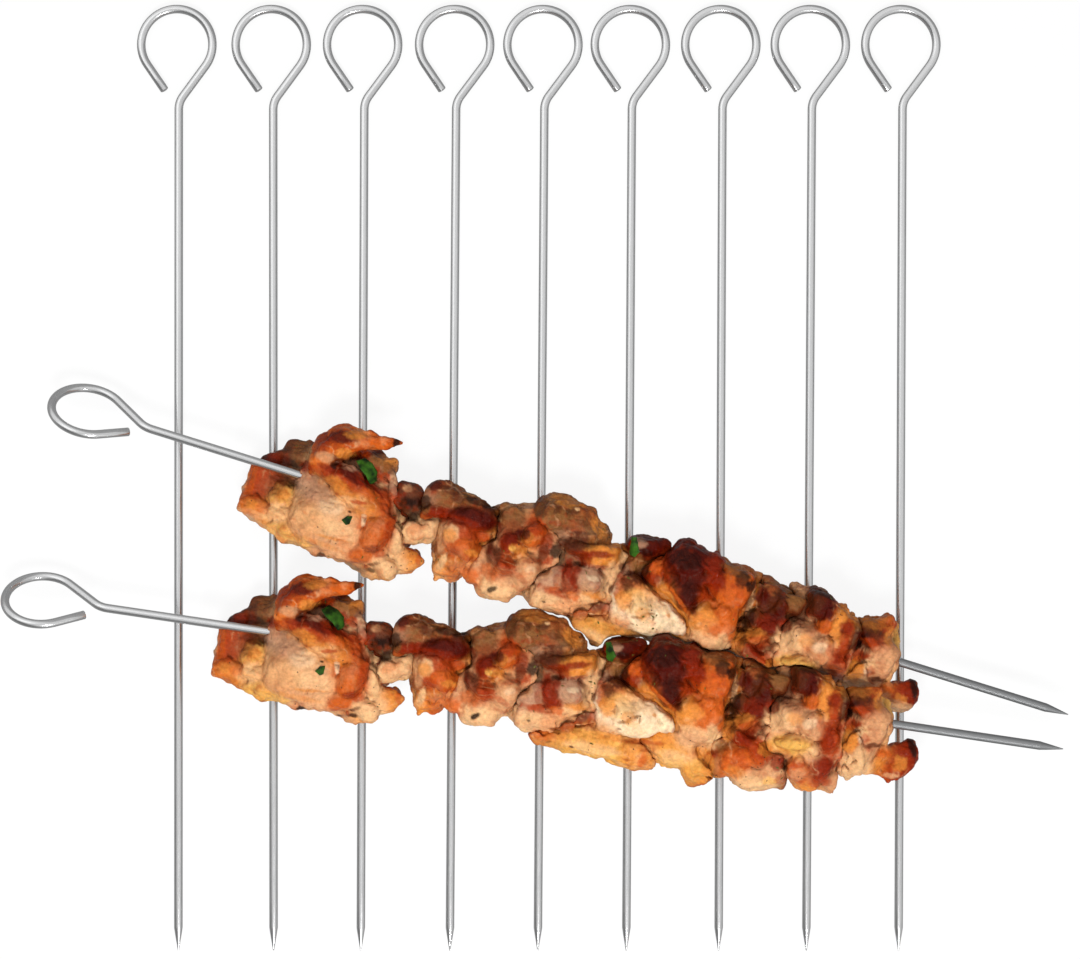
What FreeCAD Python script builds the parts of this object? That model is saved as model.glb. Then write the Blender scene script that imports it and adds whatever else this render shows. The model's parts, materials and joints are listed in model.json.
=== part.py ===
import FreeCAD, Part
import math
import os

from FreeCAD import Placement, Rotation, Vector

# A set of ring-handled wire skewers, in millimetres: nine bare ones lie side by side,
# and two longer ones, threaded with grilled chicken, lie across them.
# X runs along the row of bare skewers, Y from their points to their rings, Z up.

# Wire and ring, the same on every skewer
wire_diameter = 3.0
wire_sides = 10
ring_outer_diameter = 28.2
ring_offset = 0.7
neck_angle = 36.4
neck_bend_radius = 8.0
tail_angle = 34.4
tail_length = 11.0
point_length = 8.0
point_flat_diameter = 0.3

# Bare skewers, laid side by side on the table
laid_length = 335.0
laid_pitch = 31.97
laid_sideways_shares = [0, 0.05, 0.04, 0.044, 0.02, -0.006, 0.006, -0.012, 0]
laid_tilts = [0.06, 0, 0.26, 0.44, 0.45, 0.38, 0.25, 0.36, 0.24]

# Loaded skewers, laid across the bare ones from the upper left to the lower right
loaded_length = 370.0
ring_turn = 52.0
upper_bearing = 17.1
lower_bearing = 8.1
upper_rise = 0.0
lower_rise = 1.4
upper_neck_outside_row = 9.42
lower_neck_outside_row = 24.42
upper_neck_above_middle = 16.6
lower_neck_below_middle = 45.8
upper_seat_depth = 17.7
lower_seat_depth = 19.3

# Stack of chicken on a loaded skewer
stack_start = 41.0
stack_length = 246.0
chicken_reach = 28.0
chicken_rise = 17.0
bore_clearance = 0.15
piece_gap = 0.3
seat_clearance = 0.3
section_sides = 10
section_fullness = 2.5
bore_sides = 12
lobe_sides = 8
lobe_station_shares = [-0.92, -0.5, 0, 0.5, 0.92]

# Where the two stacks lean on each other
parting_above_wire = 19.0
parting_offset = 5.0
parting_lean = 27.4
parting_clearance = 0.15
end_contact_share = 0.965
stacks_meet_share = 0.40

# Pepper bits, pressed into the chicken
pepper_length = 5.6
pepper_width = 3.6
pepper_thickness = 1.6
pepper_proud = 0.7
pepper_clearance = 0.1

# One overrun serves every cut and every finding line
overrun = 60.0

wire_radius = wire_diameter / 2
ring_radius = ring_outer_diameter / 2 - wire_radius
bore_radius = wire_radius + bore_clearance
rest_height = wire_diameter + seat_clearance
half_row = laid_pitch * (len(laid_tilts) - 1) / 2

# Each piece of chicken, from the ring to the point: where it starts and ends along the stack,
# then its sections, each with its place along the piece and how far it reaches up the picture,
# down the picture, over the wire and under it. Places are shares of the stack and of the piece,
# sideways reaches are shares of chicken_reach and heights are shares of chicken_rise.
folded_thigh_shares = (0.0, 0.228, [
    (0.00, -0.10, -0.62, -0.30, -0.85),
    (0.10, 0.08, -0.74, -0.14, -1.10),
    (0.30, 0.42, -0.82, -0.13, -1.15),
    (0.38, 0.55, -0.88, 0.75, -1.18),
    (0.57, 0.80, -0.93, 1.00, -1.18),
    (0.80, 0.60, -0.95, 0.95, -1.18),
    (0.93, 0.32, -0.97, 0.80, -1.10),
    (1.00, 0.22, -0.80, 0.45, -0.80)])
narrow_neck_shares = (0.228, 0.289, [
    (0.00, 0.20, -0.40, 0.40, -0.70),
    (0.35, 0.30, -0.40, 0.60, -0.95),
    (0.70, 0.42, -0.35, 0.60, -0.95),
    (1.00, 0.42, -0.25, 0.45, -0.70)])
dark_topped_shares = (0.289, 0.366, [
    (0.00, 0.42, -0.30, 0.50, -0.80),
    (0.15, 0.46, -0.72, 0.80, -1.15),
    (0.50, 0.40, -0.76, 0.92, -1.18),
    (0.85, 0.38, -0.74, 0.80, -1.15),
    (1.00, 0.36, -0.60, 0.50, -0.80)])
pink_cube_shares = (0.366, 0.439, [
    (0.00, 0.38, -0.58, 0.50, -0.80),
    (0.18, 0.42, -0.72, 0.78, -1.15),
    (0.55, 0.62, -0.69, 0.92, -1.18),
    (0.85, 0.70, -0.66, 0.80, -1.15),
    (1.00, 0.68, -0.58, 0.50, -0.80)])
striped_fold_shares = (0.439, 0.541, [
    (0.00, 0.68, -0.68, 0.50, -0.75),
    (0.15, 0.70, -0.80, 0.82, -1.05),
    (0.50, 0.62, -0.94, 0.95, -1.15),
    (0.78, 0.38, -0.96, 0.85, -1.05),
    (1.00, 0.45, -0.88, 0.50, -0.75)])
white_breast_shares = (0.541, 0.606, [
    (0.00, 0.50, -0.90, 0.50, -0.80),
    (0.20, 0.58, -0.98, 0.80, -1.06),
    (0.60, 0.60, -1.00, 0.92, -1.11),
    (0.85, 0.55, -1.00, 0.82, -1.06),
    (1.00, 0.52, -0.95, 0.50, -0.80)])
glazed_block_shares = (0.606, 0.728, [
    (0.00, 0.56, -0.96, 0.55, -0.81),
    (0.12, 0.64, -1.00, 0.90, -1.06),
    (0.30, 0.68, -0.96, 1.00, -1.13),
    (0.55, 0.60, -0.90, 1.00, -1.13),
    (0.80, 0.58, -1.10, 0.92, -1.06),
    (1.00, 0.53, -1.04, 0.55, -0.81)])
olive_wedge_shares = (0.728, 0.809, [
    (0.00, 0.50, -1.00, 0.55, -0.78),
    (0.18, 0.50, -1.03, 0.85, -1.06),
    (0.55, 0.48, -1.07, 0.95, -1.12),
    (0.85, 0.56, -1.05, 0.85, -1.06),
    (1.00, 0.57, -0.98, 0.50, -0.78)])
rolled_fillet_shares = (0.809, 0.882, [
    (0.00, 0.57, -0.96, 0.50, -0.79),
    (0.18, 0.59, -1.00, 0.88, -1.07),
    (0.55, 0.50, -0.98, 0.95, -1.13),
    (0.85, 0.45, -0.98, 0.80, -1.04),
    (1.00, 0.45, -0.88, 0.50, -0.73)])
end_piece_shares = (0.882, 0.959, [
    (0.00, 0.46, -0.82, 0.48, -0.42),
    (0.15, 0.50, -0.78, 0.80, -0.50),
    (0.45, 0.45, -0.62, 0.85, -0.50),
    (0.68, 0.53, -0.66, 0.70, -0.46),
    (0.88, 0.25, -0.58, 0.50, -0.40),
    (1.00, 0.09, -0.30, 0.25, -0.25)])
stack_shares = [folded_thigh_shares, narrow_neck_shares, dark_topped_shares, pink_cube_shares,
                striped_fold_shares, white_breast_shares, glazed_block_shares,
                olive_wedge_shares, rolled_fillet_shares, end_piece_shares]

# Lobes that stand out of a piece: the piece's number, then the lobe's place along the stack,
# up the picture and over the wire, and its half sizes the same three ways, in the same shares.
lobe_shares = [
    (1, (0.150, 0.61, 0.50), (0.050, 0.19, 0.30)),
    (1, (0.020, -0.56, -0.35), (0.024, 0.18, 0.35)),
    (1, (0.250, -0.625, -0.10), (0.030, 0.185, 0.40)),
    (3, (0.338, -0.74, -0.15), (0.020, 0.13, 0.28)),
    (10, (0.963, -0.45, -0.50), (0.037, 0.27, 0.42))]

# Pepper bits: the number of the piece each is in, its place along the stack and up the picture,
# in the same shares, and its turn
pepper_shares = [(1, (0.160, 0.31), 35.0), (1, (0.158, -0.33), 80.0), (6, (0.549, 0.36), -60.0)]


def along(angle):
    return Vector(math.cos(math.radians(angle)), math.sin(math.radians(angle)), 0)


def neck_corner():
    # Where the line of the neck leg meets the line of the shank, along the skewer from its ring end
    sine = math.sin(math.radians(neck_angle))
    cosine = math.cos(math.radians(neck_angle))
    leg = (ring_radius * cosine - ring_offset) / sine
    return ring_radius + wire_radius + ring_radius * sine + leg * cosine


def neck_tangent_length():
    return neck_bend_radius * math.tan(math.radians(neck_angle / 2))


# A skewer lies along X with its ring end at the origin, its shank on the X axis and its ring in XY
def bent_path():
    centre = Vector(ring_radius + wire_radius, -ring_offset, 0)
    tail_start = centre + along(tail_angle - 90) * ring_radius
    tail_end = tail_start + along(tail_angle) * tail_length
    neck_start = centre + along(90 - neck_angle) * ring_radius
    ring_side = centre + Vector(-ring_radius, 0, 0)
    corner = Vector(neck_corner(), 0, 0)
    bend_tangent = neck_tangent_length()
    bend_start = corner - along(-neck_angle) * bend_tangent
    bend_end = corner + Vector(bend_tangent, 0, 0)
    bend_centre = bend_end + Vector(0, neck_bend_radius, 0)
    bend_middle = bend_centre - along(90 - neck_angle / 2) * neck_bend_radius
    edges = [Part.makeLine(tail_end, tail_start),
             Part.Arc(tail_start, ring_side, neck_start).toShape(),
             Part.makeLine(neck_start, bend_start),
             Part.Arc(bend_start, bend_middle, bend_end).toShape()]
    return Part.Wire(edges), tail_end


def many_sided(radius, sides, centre, across, upright):
    # A regular outline with a corner on the across direction
    corners = []
    for side in range(sides):
        angle = 2 * math.pi * side / sides
        aside = across * radius * math.cos(angle)
        corners.append(centre + aside + upright * radius * math.sin(angle))
    return Part.makePolygon(corners + [corners[0]])


def skewer(length):
    # The bent end is a many-sided wire, the shank a true round one and the point is ground in flats
    upright = Vector(0, 0, 1)
    path, tail_end = bent_path()
    section = many_sided(wire_radius, wire_sides, tail_end, along(tail_angle - 90), upright)
    bent_end = path.makePipeShell([section], True, False)
    shank_start = Vector(neck_corner() + neck_tangent_length(), 0, 0)
    shoulder = Vector(length - point_length, 0, 0)
    shank = Part.makeCylinder(wire_radius, shoulder.x - shank_start.x, shank_start, Vector(1, 0, 0))
    across = Vector(0, 1, 0)
    tip = Vector(length, 0, 0)
    wide_end = many_sided(wire_radius, wire_sides, shoulder, across, upright)
    sharp_end = many_sided(point_flat_diameter / 2, wire_sides, tip, across, upright)
    point = Part.makeLoft([wide_end, sharp_end], True, True)
    return bent_end.fuse([shank, point]).removeSplitter().Solids[0]


# The chicken lies along X too, measured from the neck corner, with Y up the picture and Z up
def section_points(place, reaches):
    up, down, over, under = reaches
    points = []
    for side in range(section_sides):
        angle = 2 * math.pi * side / section_sides
        cosine = math.cos(angle)
        sine = math.sin(angle)
        fullness_sum = abs(cosine) ** section_fullness + abs(sine) ** section_fullness
        round_out = fullness_sum ** (-1 / section_fullness)
        y = (up + down) / 2 + (up - down) / 2 * cosine * round_out
        z = (over + under) / 2 + (over - under) / 2 * sine * round_out
        points.append(Vector(place, y * chicken_reach, z * chicken_rise))
    return points


def faceted_solid(rings):
    # Triangles between neighbouring rings, and a fan over each end
    faces = []
    for first, second in zip(rings, rings[1:]):
        for i in range(len(first)):
            j = (i + 1) % len(first)
            faces.append(Part.Face(Part.makePolygon([first[i], first[j], second[j], first[i]])))
            faces.append(Part.Face(Part.makePolygon([first[i], second[j], second[i], first[i]])))
    for ring in (rings[0], rings[-1]):
        faces.append(Part.Face(Part.makePolygon(ring + [ring[0]])))
    solid = Part.makeSolid(Part.makeShell(faces))
    if solid.Volume < 0:
        solid.reverse()
    return solid


def chicken_body(piece_shares):
    start_share, end_share, sections = piece_shares
    start = stack_start + start_share * stack_length + piece_gap / 2
    end = stack_start + end_share * stack_length - piece_gap / 2
    rings = []
    for share, *reaches in sections:
        rings.append(section_points(start + share * (end - start), reaches))
    return faceted_solid(rings)


def lobe(place_shares, half_shares):
    # A faceted egg: rings of points whose size follows a half circle
    rings = []
    for station in lobe_station_shares:
        girth = math.sqrt(1 - station ** 2)
        ring = []
        for side in range(lobe_sides):
            angle = 2 * math.pi * (side + 0.5) / lobe_sides
            x = stack_start + (place_shares[0] + half_shares[0] * station) * stack_length
            y = (place_shares[1] + half_shares[1] * girth * math.cos(angle)) * chicken_reach
            z = (place_shares[2] + half_shares[2] * girth * math.sin(angle)) * chicken_rise
            ring.append(Vector(x, y, z))
        rings.append(ring)
    return faceted_solid(rings)


def whole_stack():
    # Every piece with its lobes, bored for the wire, before it is laid down
    bore_corner = bore_radius / math.cos(math.pi / bore_sides)
    outline = many_sided(bore_corner, bore_sides, Vector(0, 0, 0), Vector(0, 1, 0), Vector(0, 0, 1))
    bore = Part.Face(outline).extrude(Vector(loaded_length, 0, 0))
    pieces = []
    for number, piece_shares in enumerate(stack_shares, start=1):
        piece = chicken_body(piece_shares)
        for owner, place_shares, half_shares in lobe_shares:
            if owner == number:
                piece = piece.fuse(lobe(place_shares, half_shares))
        pieces.append(piece.cut(bore))
    return pieces


def pepper_block(place, growth):
    # A bit of pepper pressed flat, standing at a place on top of the chicken
    block = Part.makeBox(pepper_length + 2 * growth, pepper_width + 2 * growth, pepper_thickness + growth)
    block.translate(Vector(-pepper_length / 2 - growth, -pepper_width / 2 - growth, -growth))
    block.Placement = place.multiply(block.Placement)
    return block


def top_of(piece, x, y):
    line = Part.makeLine(Vector(x, y, -overrun), Vector(x, y, overrun))
    return piece.common(line).BoundBox.ZMax


def seat_pepper(pieces):
    # Each bit sinks into the piece under it, in a pocket that is a little larger than the bit
    bits = []
    for number, (along_share, up_share), turn in pepper_shares:
        x = stack_start + along_share * stack_length
        y = up_share * chicken_reach
        z = top_of(pieces[number - 1], x, y) + pepper_proud - pepper_thickness
        place = Placement(Vector(x, y, z), Rotation(Vector(0, 0, 1), turn))
        bits.append(pepper_block(place, 0))
        pocket = pepper_block(place, pepper_clearance)
        above = pocket.copy()
        above.translate(Vector(0, 0, pepper_thickness))
        pieces[number - 1] = pieces[number - 1].cut(pocket.fuse(above))
    return bits


def half_space(point, normal):
    # A thick block that fills the side of a plane towards which the normal points
    side = 2 * loaded_length + 2 * overrun
    block = Part.makeBox(side, side, side, Vector(-side / 2, -side / 2, 0))
    block.Placement = Placement(point, Rotation(Vector(0, 0, 1), normal))
    return block


def kebab_place(outside_row, above_middle, seat_depth, bearing, rise):
    # The neck corner of a loaded skewer lies to the left of the row of bare ones
    neck = Vector(-half_row - outside_row, above_middle, rest_height + seat_depth)
    turned = Rotation(Vector(0, 0, 1), -bearing)
    raised = Rotation(Vector(0, 1, 0), -rise)
    return Placement(neck, turned.multiply(raised))


def loaded_skewer(place):
    wire = skewer(loaded_length)
    wire.translate(Vector(-neck_corner(), 0, 0))
    wire.rotate(Vector(0, 0, 0), Vector(1, 0, 0), -ring_turn)
    wire.Placement = place.multiply(wire.Placement)
    return wire


def laid_skewer(number):
    wire = skewer(laid_length)
    wire.translate(Vector(-laid_length / 2, 0, wire_radius))
    wire.rotate(Vector(0, 0, 0), Vector(0, 0, 1), -90 - laid_tilts[number])
    from_first = number + laid_sideways_shares[number]
    wire.translate(Vector(from_first * laid_pitch - half_row, 0, 0))
    return wire


# The plane between the two stacks leans over the upper one, parallel to the upper skewer
upper_place = kebab_place(upper_neck_outside_row, upper_neck_above_middle,
                          upper_seat_depth, upper_bearing, upper_rise)
lower_place = kebab_place(lower_neck_outside_row, -lower_neck_below_middle,
                          lower_seat_depth, lower_bearing, lower_rise)
stack_end = stack_start + end_contact_share * stack_length
parting_point = upper_place.multVec(Vector(stack_end, -parting_offset, parting_above_wire))
upper_side = upper_place.Rotation.multVec(Vector(0, 1, 0))
lean = math.radians(parting_lean)
to_lower = upper_side * -math.cos(lean) + Vector(0, 0, math.sin(lean))

# The lower end piece slides off its own skewer, so its side of the plane follows that skewer
lower_axis = lower_place.Rotation.multVec(Vector(1, 0, 0))
lower_up = lower_place.Rotation.multVec(Vector(0, 1, 0))
end_to_lower = lower_up * -math.cos(lean) + Vector(0, 0, math.sin(lean))
end_to_lower = (end_to_lower - lower_axis * end_to_lower.dot(lower_axis)).normalize()

above_wires = half_space(Vector(0, 0, rest_height), Vector(0, 0, 1))
upper_room = half_space(parting_point - to_lower * parting_clearance, to_lower * -1)
lower_room = half_space(parting_point + to_lower * parting_clearance, to_lower)
lower_end_room = half_space(parting_point + end_to_lower * parting_clearance, end_to_lower)

shapes = {}
for number in range(len(laid_tilts)):
    shapes["laid_skewer_%d" % (number + 1)] = laid_skewer(number)

for name, place, room in (("upper", upper_place, upper_room), ("lower", lower_place, lower_room)):
    shapes[name + "_skewer"] = loaded_skewer(place)
    pieces = whole_stack()
    bits = seat_pepper(pieces)
    for number, piece in enumerate(pieces, start=1):
        # The first pieces are clear of the other stack, so the parting leaves them whole
        starts_at = stack_shares[number - 1][0]
        piece.Placement = place.multiply(piece.Placement)
        piece = piece.common(above_wires)
        if starts_at >= stacks_meet_share:
            piece = piece.common(room)
        if name == "lower" and number == len(pieces):
            piece = piece.common(lower_end_room)
        shapes["%s_chicken_%d" % (name, number)] = piece.Solids[0]
    for bit in bits:
        bit.Placement = place.multiply(bit.Placement)
    shapes[name + "_pepper_bits"] = Part.makeCompound(bits)

# The origin is the bottom centre of the whole set
box = Part.makeCompound(list(shapes.values())).BoundBox
to_origin = Vector(-box.Center.x, -box.Center.y, -box.ZMin)
os.makedirs("parts", exist_ok=True)
for node, shape in shapes.items():
    shape.translate(to_origin)
    shape.exportStep("parts/" + node + ".step")
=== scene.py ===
import json
import math

import bpy
import numpy as np
import openvdb
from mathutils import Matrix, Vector


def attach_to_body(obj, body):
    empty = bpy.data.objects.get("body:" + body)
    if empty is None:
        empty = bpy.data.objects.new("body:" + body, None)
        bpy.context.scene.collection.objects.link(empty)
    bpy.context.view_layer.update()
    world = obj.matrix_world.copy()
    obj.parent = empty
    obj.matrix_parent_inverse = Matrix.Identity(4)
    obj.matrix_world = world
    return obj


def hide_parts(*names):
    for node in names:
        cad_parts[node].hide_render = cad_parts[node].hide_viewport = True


# Nine bare wire skewers lie side by side, and two longer ones, threaded with grilled chicken,
# lie across them. The wires, the chicken, the bits of pepper and the spice are modelled here;
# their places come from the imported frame. Sizes are in millimetres unless a name says otherwise.
mm = 0.001

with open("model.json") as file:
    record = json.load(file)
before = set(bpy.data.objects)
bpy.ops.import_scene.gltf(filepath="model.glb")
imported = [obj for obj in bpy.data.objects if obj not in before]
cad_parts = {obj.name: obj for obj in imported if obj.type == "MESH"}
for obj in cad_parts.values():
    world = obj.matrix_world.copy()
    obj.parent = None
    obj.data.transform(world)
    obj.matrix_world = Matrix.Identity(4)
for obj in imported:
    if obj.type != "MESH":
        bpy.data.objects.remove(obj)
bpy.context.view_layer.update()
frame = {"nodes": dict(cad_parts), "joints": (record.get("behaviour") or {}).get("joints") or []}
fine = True
sides = ("upper", "lower")
print("frame loaded")


# sRGB hex to linear values.
def linear(code):
    out = []
    for i in (1, 3, 5):
        c = int(code[i:i + 2], 16) / 255
        out.append(c / 12.92 if c <= 0.04045 else ((c + 0.055) / 1.055) ** 2.4)
    return out


# Sets or links a node's inputs, by name, or by number as _0, _1 and so on.
def fill(tree, made, **sockets):
    for key, value in sockets.items():
        key = key.replace("_", " ")
        socket = made.inputs[int(key[1:])] if key[1:].isdigit() else made.inputs[key]
        if isinstance(value, bpy.types.NodeSocket):
            tree.links.new(value, socket)
        else:
            socket.default_value = value
    return made


def node(tree, kind, settings=None, **sockets):
    made = tree.nodes.new(kind)
    for key, value in (settings or {}).items():
        setattr(made, key, value)
    return fill(tree, made, **sockets)


# A new material with its tree and its skin.
def blankMaterial(name):
    made = bpy.data.materials.new(name)
    made.use_nodes = True
    return made, made.node_tree, made.node_tree.nodes["Principled BSDF"]


# The wires' sizes, and where the wires are in the frame

wire = {"diameter": 3.0, "ringOutside": 28.2, "ringOffset": 0.7, "neckAngle": 36.4,
        "bendRadius": 8.0, "tailAngle": 34.4, "tailLength": 11.0, "pointLength": 8.0,
        "pointFlat": 0.3, "laidLength": 335.0, "loadedLength": 370.0, "ringTurn": 52.0,
        "greyedLength": 84.0, "greyedFade": 15.0, "endRounding": 0.35, "sides": 28,
        "arcStep": 5.0, "rowSpacing": 12.0, "sameSpot": 0.05}


# Centre line in the wire's own frame, ring end at 0, shank on X: (x, y, radius) rows.
def wirePath(length):
    r = wire["diameter"] / 2
    ring = wire["ringOutside"] / 2 - r
    neck = math.radians(wire["neckAngle"])
    leg = (ring * math.cos(neck) - wire["ringOffset"]) / math.sin(neck)
    corner = ring + r + ring * math.sin(neck) + leg * math.cos(neck)
    tangent = wire["bendRadius"] * math.tan(neck / 2)
    cx, cy = ring + r, -wire["ringOffset"]
    tail = math.radians(wire["tailAngle"])
    step = math.radians(wire["arcStep"])
    rows = []
    tailX, tailY = cx + ring * math.sin(tail), cy - ring * math.cos(tail)
    for back, share in ((wire["tailLength"], 0.62), (wire["tailLength"] - 0.12, 0.86),
                        (wire["tailLength"] - wire["endRounding"], 1.0),
                        (wire["tailLength"] * 0.5, 1.0)):
        rows.append((tailX + back * math.cos(tail), tailY + back * math.sin(tail), r * share))
    start, stop = tail - math.pi / 2, -3 * math.pi / 2 - neck
    count = int(abs(stop - start) / step)
    for i in range(count + 1):
        a = start + (stop - start) * i / count
        rows.append((cx + ring * math.cos(a), cy + ring * math.sin(a), r))
    bendX, bendY = corner + tangent, wire["bendRadius"]
    count = max(3, int(neck / step))
    for i in range(count + 1):
        a = -math.pi / 2 - neck + neck * i / count
        rows.append((bendX + wire["bendRadius"] * math.cos(a),
                     bendY + wire["bendRadius"] * math.sin(a), r))
    shoulder = length - wire["pointLength"]
    for x in np.arange(corner + tangent + wire["rowSpacing"], shoulder - 2, wire["rowSpacing"]):
        rows.append((x, 0, r))
    rows += [(shoulder - 0.25, 0, r), (shoulder, 0, r * 0.985), (shoulder + 0.4, 0, r * 0.93)]
    for share in (0.25, 0.5, 0.75, 0.9, 0.97):
        rows.append((shoulder + wire["pointLength"] * share, 0,
                     r + (wire["pointFlat"] / 2 - r) * share))
    rows.append((length, 0, wire["pointFlat"] / 2 * 0.8))
    return rows, corner


# The point's end and the shank's direction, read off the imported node.
def tipAndAim(name, guess):
    points = np.array([v.co for v in frame["nodes"][name].data.vertices], float)
    places = points @ guess
    near = wire["sameSpot"] * mm
    tip = points[places > places.max() - near].mean(0)
    ring = points[np.abs(places - places.max() + wire["pointLength"] * mm) < near]
    aim = tip - ring.mean(0)
    return tip, aim / np.linalg.norm(aim)


# How far each stack sits back towards the ring, in millimetres
stackBack = {"upper": 2.6, "lower": 0.0}
laidRows = wirePath(wire["laidLength"])[0]
loadedRows, corner = wirePath(wire["loadedLength"])

kebabs = {}
for side in sides:
    axis = [j["axis"] for j in frame["joints"] if j["name"] == side + "_end_piece_slide"][0]
    tip, aim = tipAndAim(side + "_skewer", np.array(axis, float))
    across = np.cross([0, 0, 1], aim)
    across /= np.linalg.norm(across)
    start = corner - wire["loadedLength"] - stackBack[side]
    kebabs[side] = {"start": tip + aim * start * mm, "aim": aim, "across": across,
                    "up": np.cross(aim, across), "tip": tip}


# Skewers: one tube tree sweeps a round section along each path

def tubeTree():
    tree = bpy.data.node_groups.new("tubeAlongPath", "GeometryNodeTree")
    face = tree.interface
    face.new_socket("Path", in_out="INPUT", socket_type="NodeSocketGeometry")
    face.new_socket("Sides", in_out="INPUT", socket_type="NodeSocketInt")
    face.new_socket("Material", in_out="INPUT", socket_type="NodeSocketMaterial")
    face.new_socket("Tube", in_out="OUTPUT", socket_type="NodeSocketGeometry")
    enter = node(tree, "NodeGroupInput")
    leave = node(tree, "NodeGroupOutput")
    place = node(tree, "GeometryNodeSplineParameter")
    radius = node(tree, "GeometryNodeInputRadius")
    path = node(tree, "GeometryNodeCaptureAttribute", Geometry=enter.outputs["Path"])
    path.capture_items.new("FLOAT", "alongWire")
    tree.links.new(place.outputs["Length"], path.inputs["alongWire"])
    ring = node(tree, "GeometryNodeCurvePrimitiveCircle", Resolution=enter.outputs["Sides"],
                Radius=1.0)
    turn = node(tree, "GeometryNodeSplineParameter")
    section = node(tree, "GeometryNodeCaptureAttribute", Geometry=ring.outputs["Curve"])
    section.capture_items.new("FLOAT", "aroundWire")
    tree.links.new(turn.outputs["Factor"], section.inputs["aroundWire"])
    tube = node(tree, "GeometryNodeCurveToMesh", Curve=path.outputs["Geometry"],
                Profile_Curve=section.outputs["Geometry"], Scale=radius.outputs["Radius"],
                Fill_Caps=True)
    along = node(tree, "GeometryNodeStoreNamedAttribute",
                 {"data_type": "FLOAT", "domain": "POINT"}, Geometry=tube.outputs["Mesh"],
                 Name="alongWire", Value=path.outputs["alongWire"])
    around = node(tree, "GeometryNodeStoreNamedAttribute",
                  {"data_type": "FLOAT", "domain": "POINT"}, Geometry=along.outputs["Geometry"],
                  Name="aroundWire", Value=section.outputs["aroundWire"])
    smooth = node(tree, "GeometryNodeSetShadeSmooth", Geometry=around.outputs["Geometry"],
                  Shade_Smooth=True)
    whole = node(tree, "GeometryNodeRealizeInstances", Geometry=smooth.outputs["Geometry"])
    painted = node(tree, "GeometryNodeSetMaterial", Geometry=whole.outputs["Geometry"],
                   Material=enter.outputs["Material"])
    tree.links.new(painted.outputs["Geometry"], leave.inputs["Tube"])
    return tree


# Turns an object with its modifiers into a plain mesh object of that name.
def plainMesh(holder, name):
    graph = bpy.context.evaluated_depsgraph_get()
    mesh = bpy.data.meshes.new_from_object(holder.evaluated_get(graph), depsgraph=graph)
    bpy.data.objects.remove(holder)
    mesh.name = name
    made = bpy.data.objects.new(name, mesh)
    bpy.context.scene.collection.objects.link(made)
    return made


def setInput(modifier, tree, name, value):
    for item in tree.interface.items_tree:
        if item.item_type == "SOCKET" and item.in_out == "INPUT" and item.name == name:
            modifier[item.identifier] = value


# A round tube along (x, y, z, radius) rows, all in metres.
def tube(name, rows, tree, material):
    curve = bpy.data.curves.new(name, "CURVE")
    curve.dimensions = "3D"
    spline = curve.splines.new("POLY")
    spline.points.add(len(rows) - 1)
    for point, row in zip(spline.points, rows):
        point.co = (row[0], row[1], row[2], 1)
        point.radius = row[3]
    holder = bpy.data.objects.new(name + "Path", curve)
    bpy.context.scene.collection.objects.link(holder)
    modifier = holder.modifiers.new("tube", "NODES")
    modifier.node_group = tree
    setInput(modifier, tree, "Sides", wire["sides"])
    setInput(modifier, tree, "Material", material)
    return plainMesh(holder, name)


# Drawn stainless wire: fine lines run along it, with a soft satin shine. The points of the
# loaded ones are greyer and matt from greyedFrom on, in metres.
def steelMaterial(name, greyedFrom=None):
    made, tree, skin = blankMaterial(name)
    along = node(tree, "ShaderNodeAttribute", {"attribute_name": "alongWire"})
    around = node(tree, "ShaderNodeAttribute", {"attribute_name": "aroundWire"})
    # the circle's two ends meet, so the lines are read off its cosine and sine
    angle = node(tree, "ShaderNodeMath", {"operation": "MULTIPLY"}, _0=around.outputs["Fac"],
                 _1=2 * math.pi)
    cosine = node(tree, "ShaderNodeMath", {"operation": "COSINE"}, _0=angle.outputs[0])
    sine = node(tree, "ShaderNodeMath", {"operation": "SINE"}, _0=angle.outputs[0])
    place = node(tree, "ShaderNodeCombineXYZ", X=cosine.outputs[0], Y=sine.outputs[0],
                 Z=along.outputs["Fac"])
    fineLines = node(tree, "ShaderNodeMapping", Vector=place.outputs[0],
                     Scale=(9.0, 9.0, 55.0))
    drawn = node(tree, "ShaderNodeTexNoise", Vector=fineLines.outputs[0], Scale=1.0, Detail=4.0,
                 Roughness=0.62)
    broadLines = node(tree, "ShaderNodeMapping", Vector=place.outputs[0], Scale=(1.6, 1.6, 26.0))
    stain = node(tree, "ShaderNodeTexNoise", Vector=broadLines.outputs[0], Scale=1.0, Detail=2.0)
    tint = node(tree, "ShaderNodeMix", {"data_type": "RGBA"}, _0=drawn.outputs["Fac"],
                _6=(*linear("#C4C5C6"), 1), _7=(*linear("#E6E6E6"), 1))
    rough = node(tree, "ShaderNodeMapRange", Value=drawn.outputs["Fac"], From_Min=0.3,
                 From_Max=0.7, To_Min=0.2, To_Max=0.34)
    colour, matt = tint.outputs[2], rough.outputs[0]
    if greyedFrom:
        greyed = node(tree, "ShaderNodeMapRange", Value=along.outputs["Fac"],
                      From_Min=greyedFrom, From_Max=greyedFrom + wire["greyedFade"] * mm)
        colour = node(tree, "ShaderNodeMix", {"data_type": "RGBA"}, _0=greyed.outputs[0],
                      _6=colour, _7=(*linear("#949596"), 1)).outputs[2]
        matt = node(tree, "ShaderNodeMix", _0=greyed.outputs[0], _2=matt, _3=0.52).outputs[0]
    height = node(tree, "ShaderNodeMath", {"operation": "ADD"}, _0=drawn.outputs["Fac"],
                  _1=stain.outputs["Fac"])
    bump = node(tree, "ShaderNodeBump", Height=height.outputs[0], Strength=0.2,
                Distance=0.00005)
    fill(tree, skin, Base_Color=colour, Roughness=matt, Metallic=1.0, Normal=bump.outputs[0])
    return made


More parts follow.
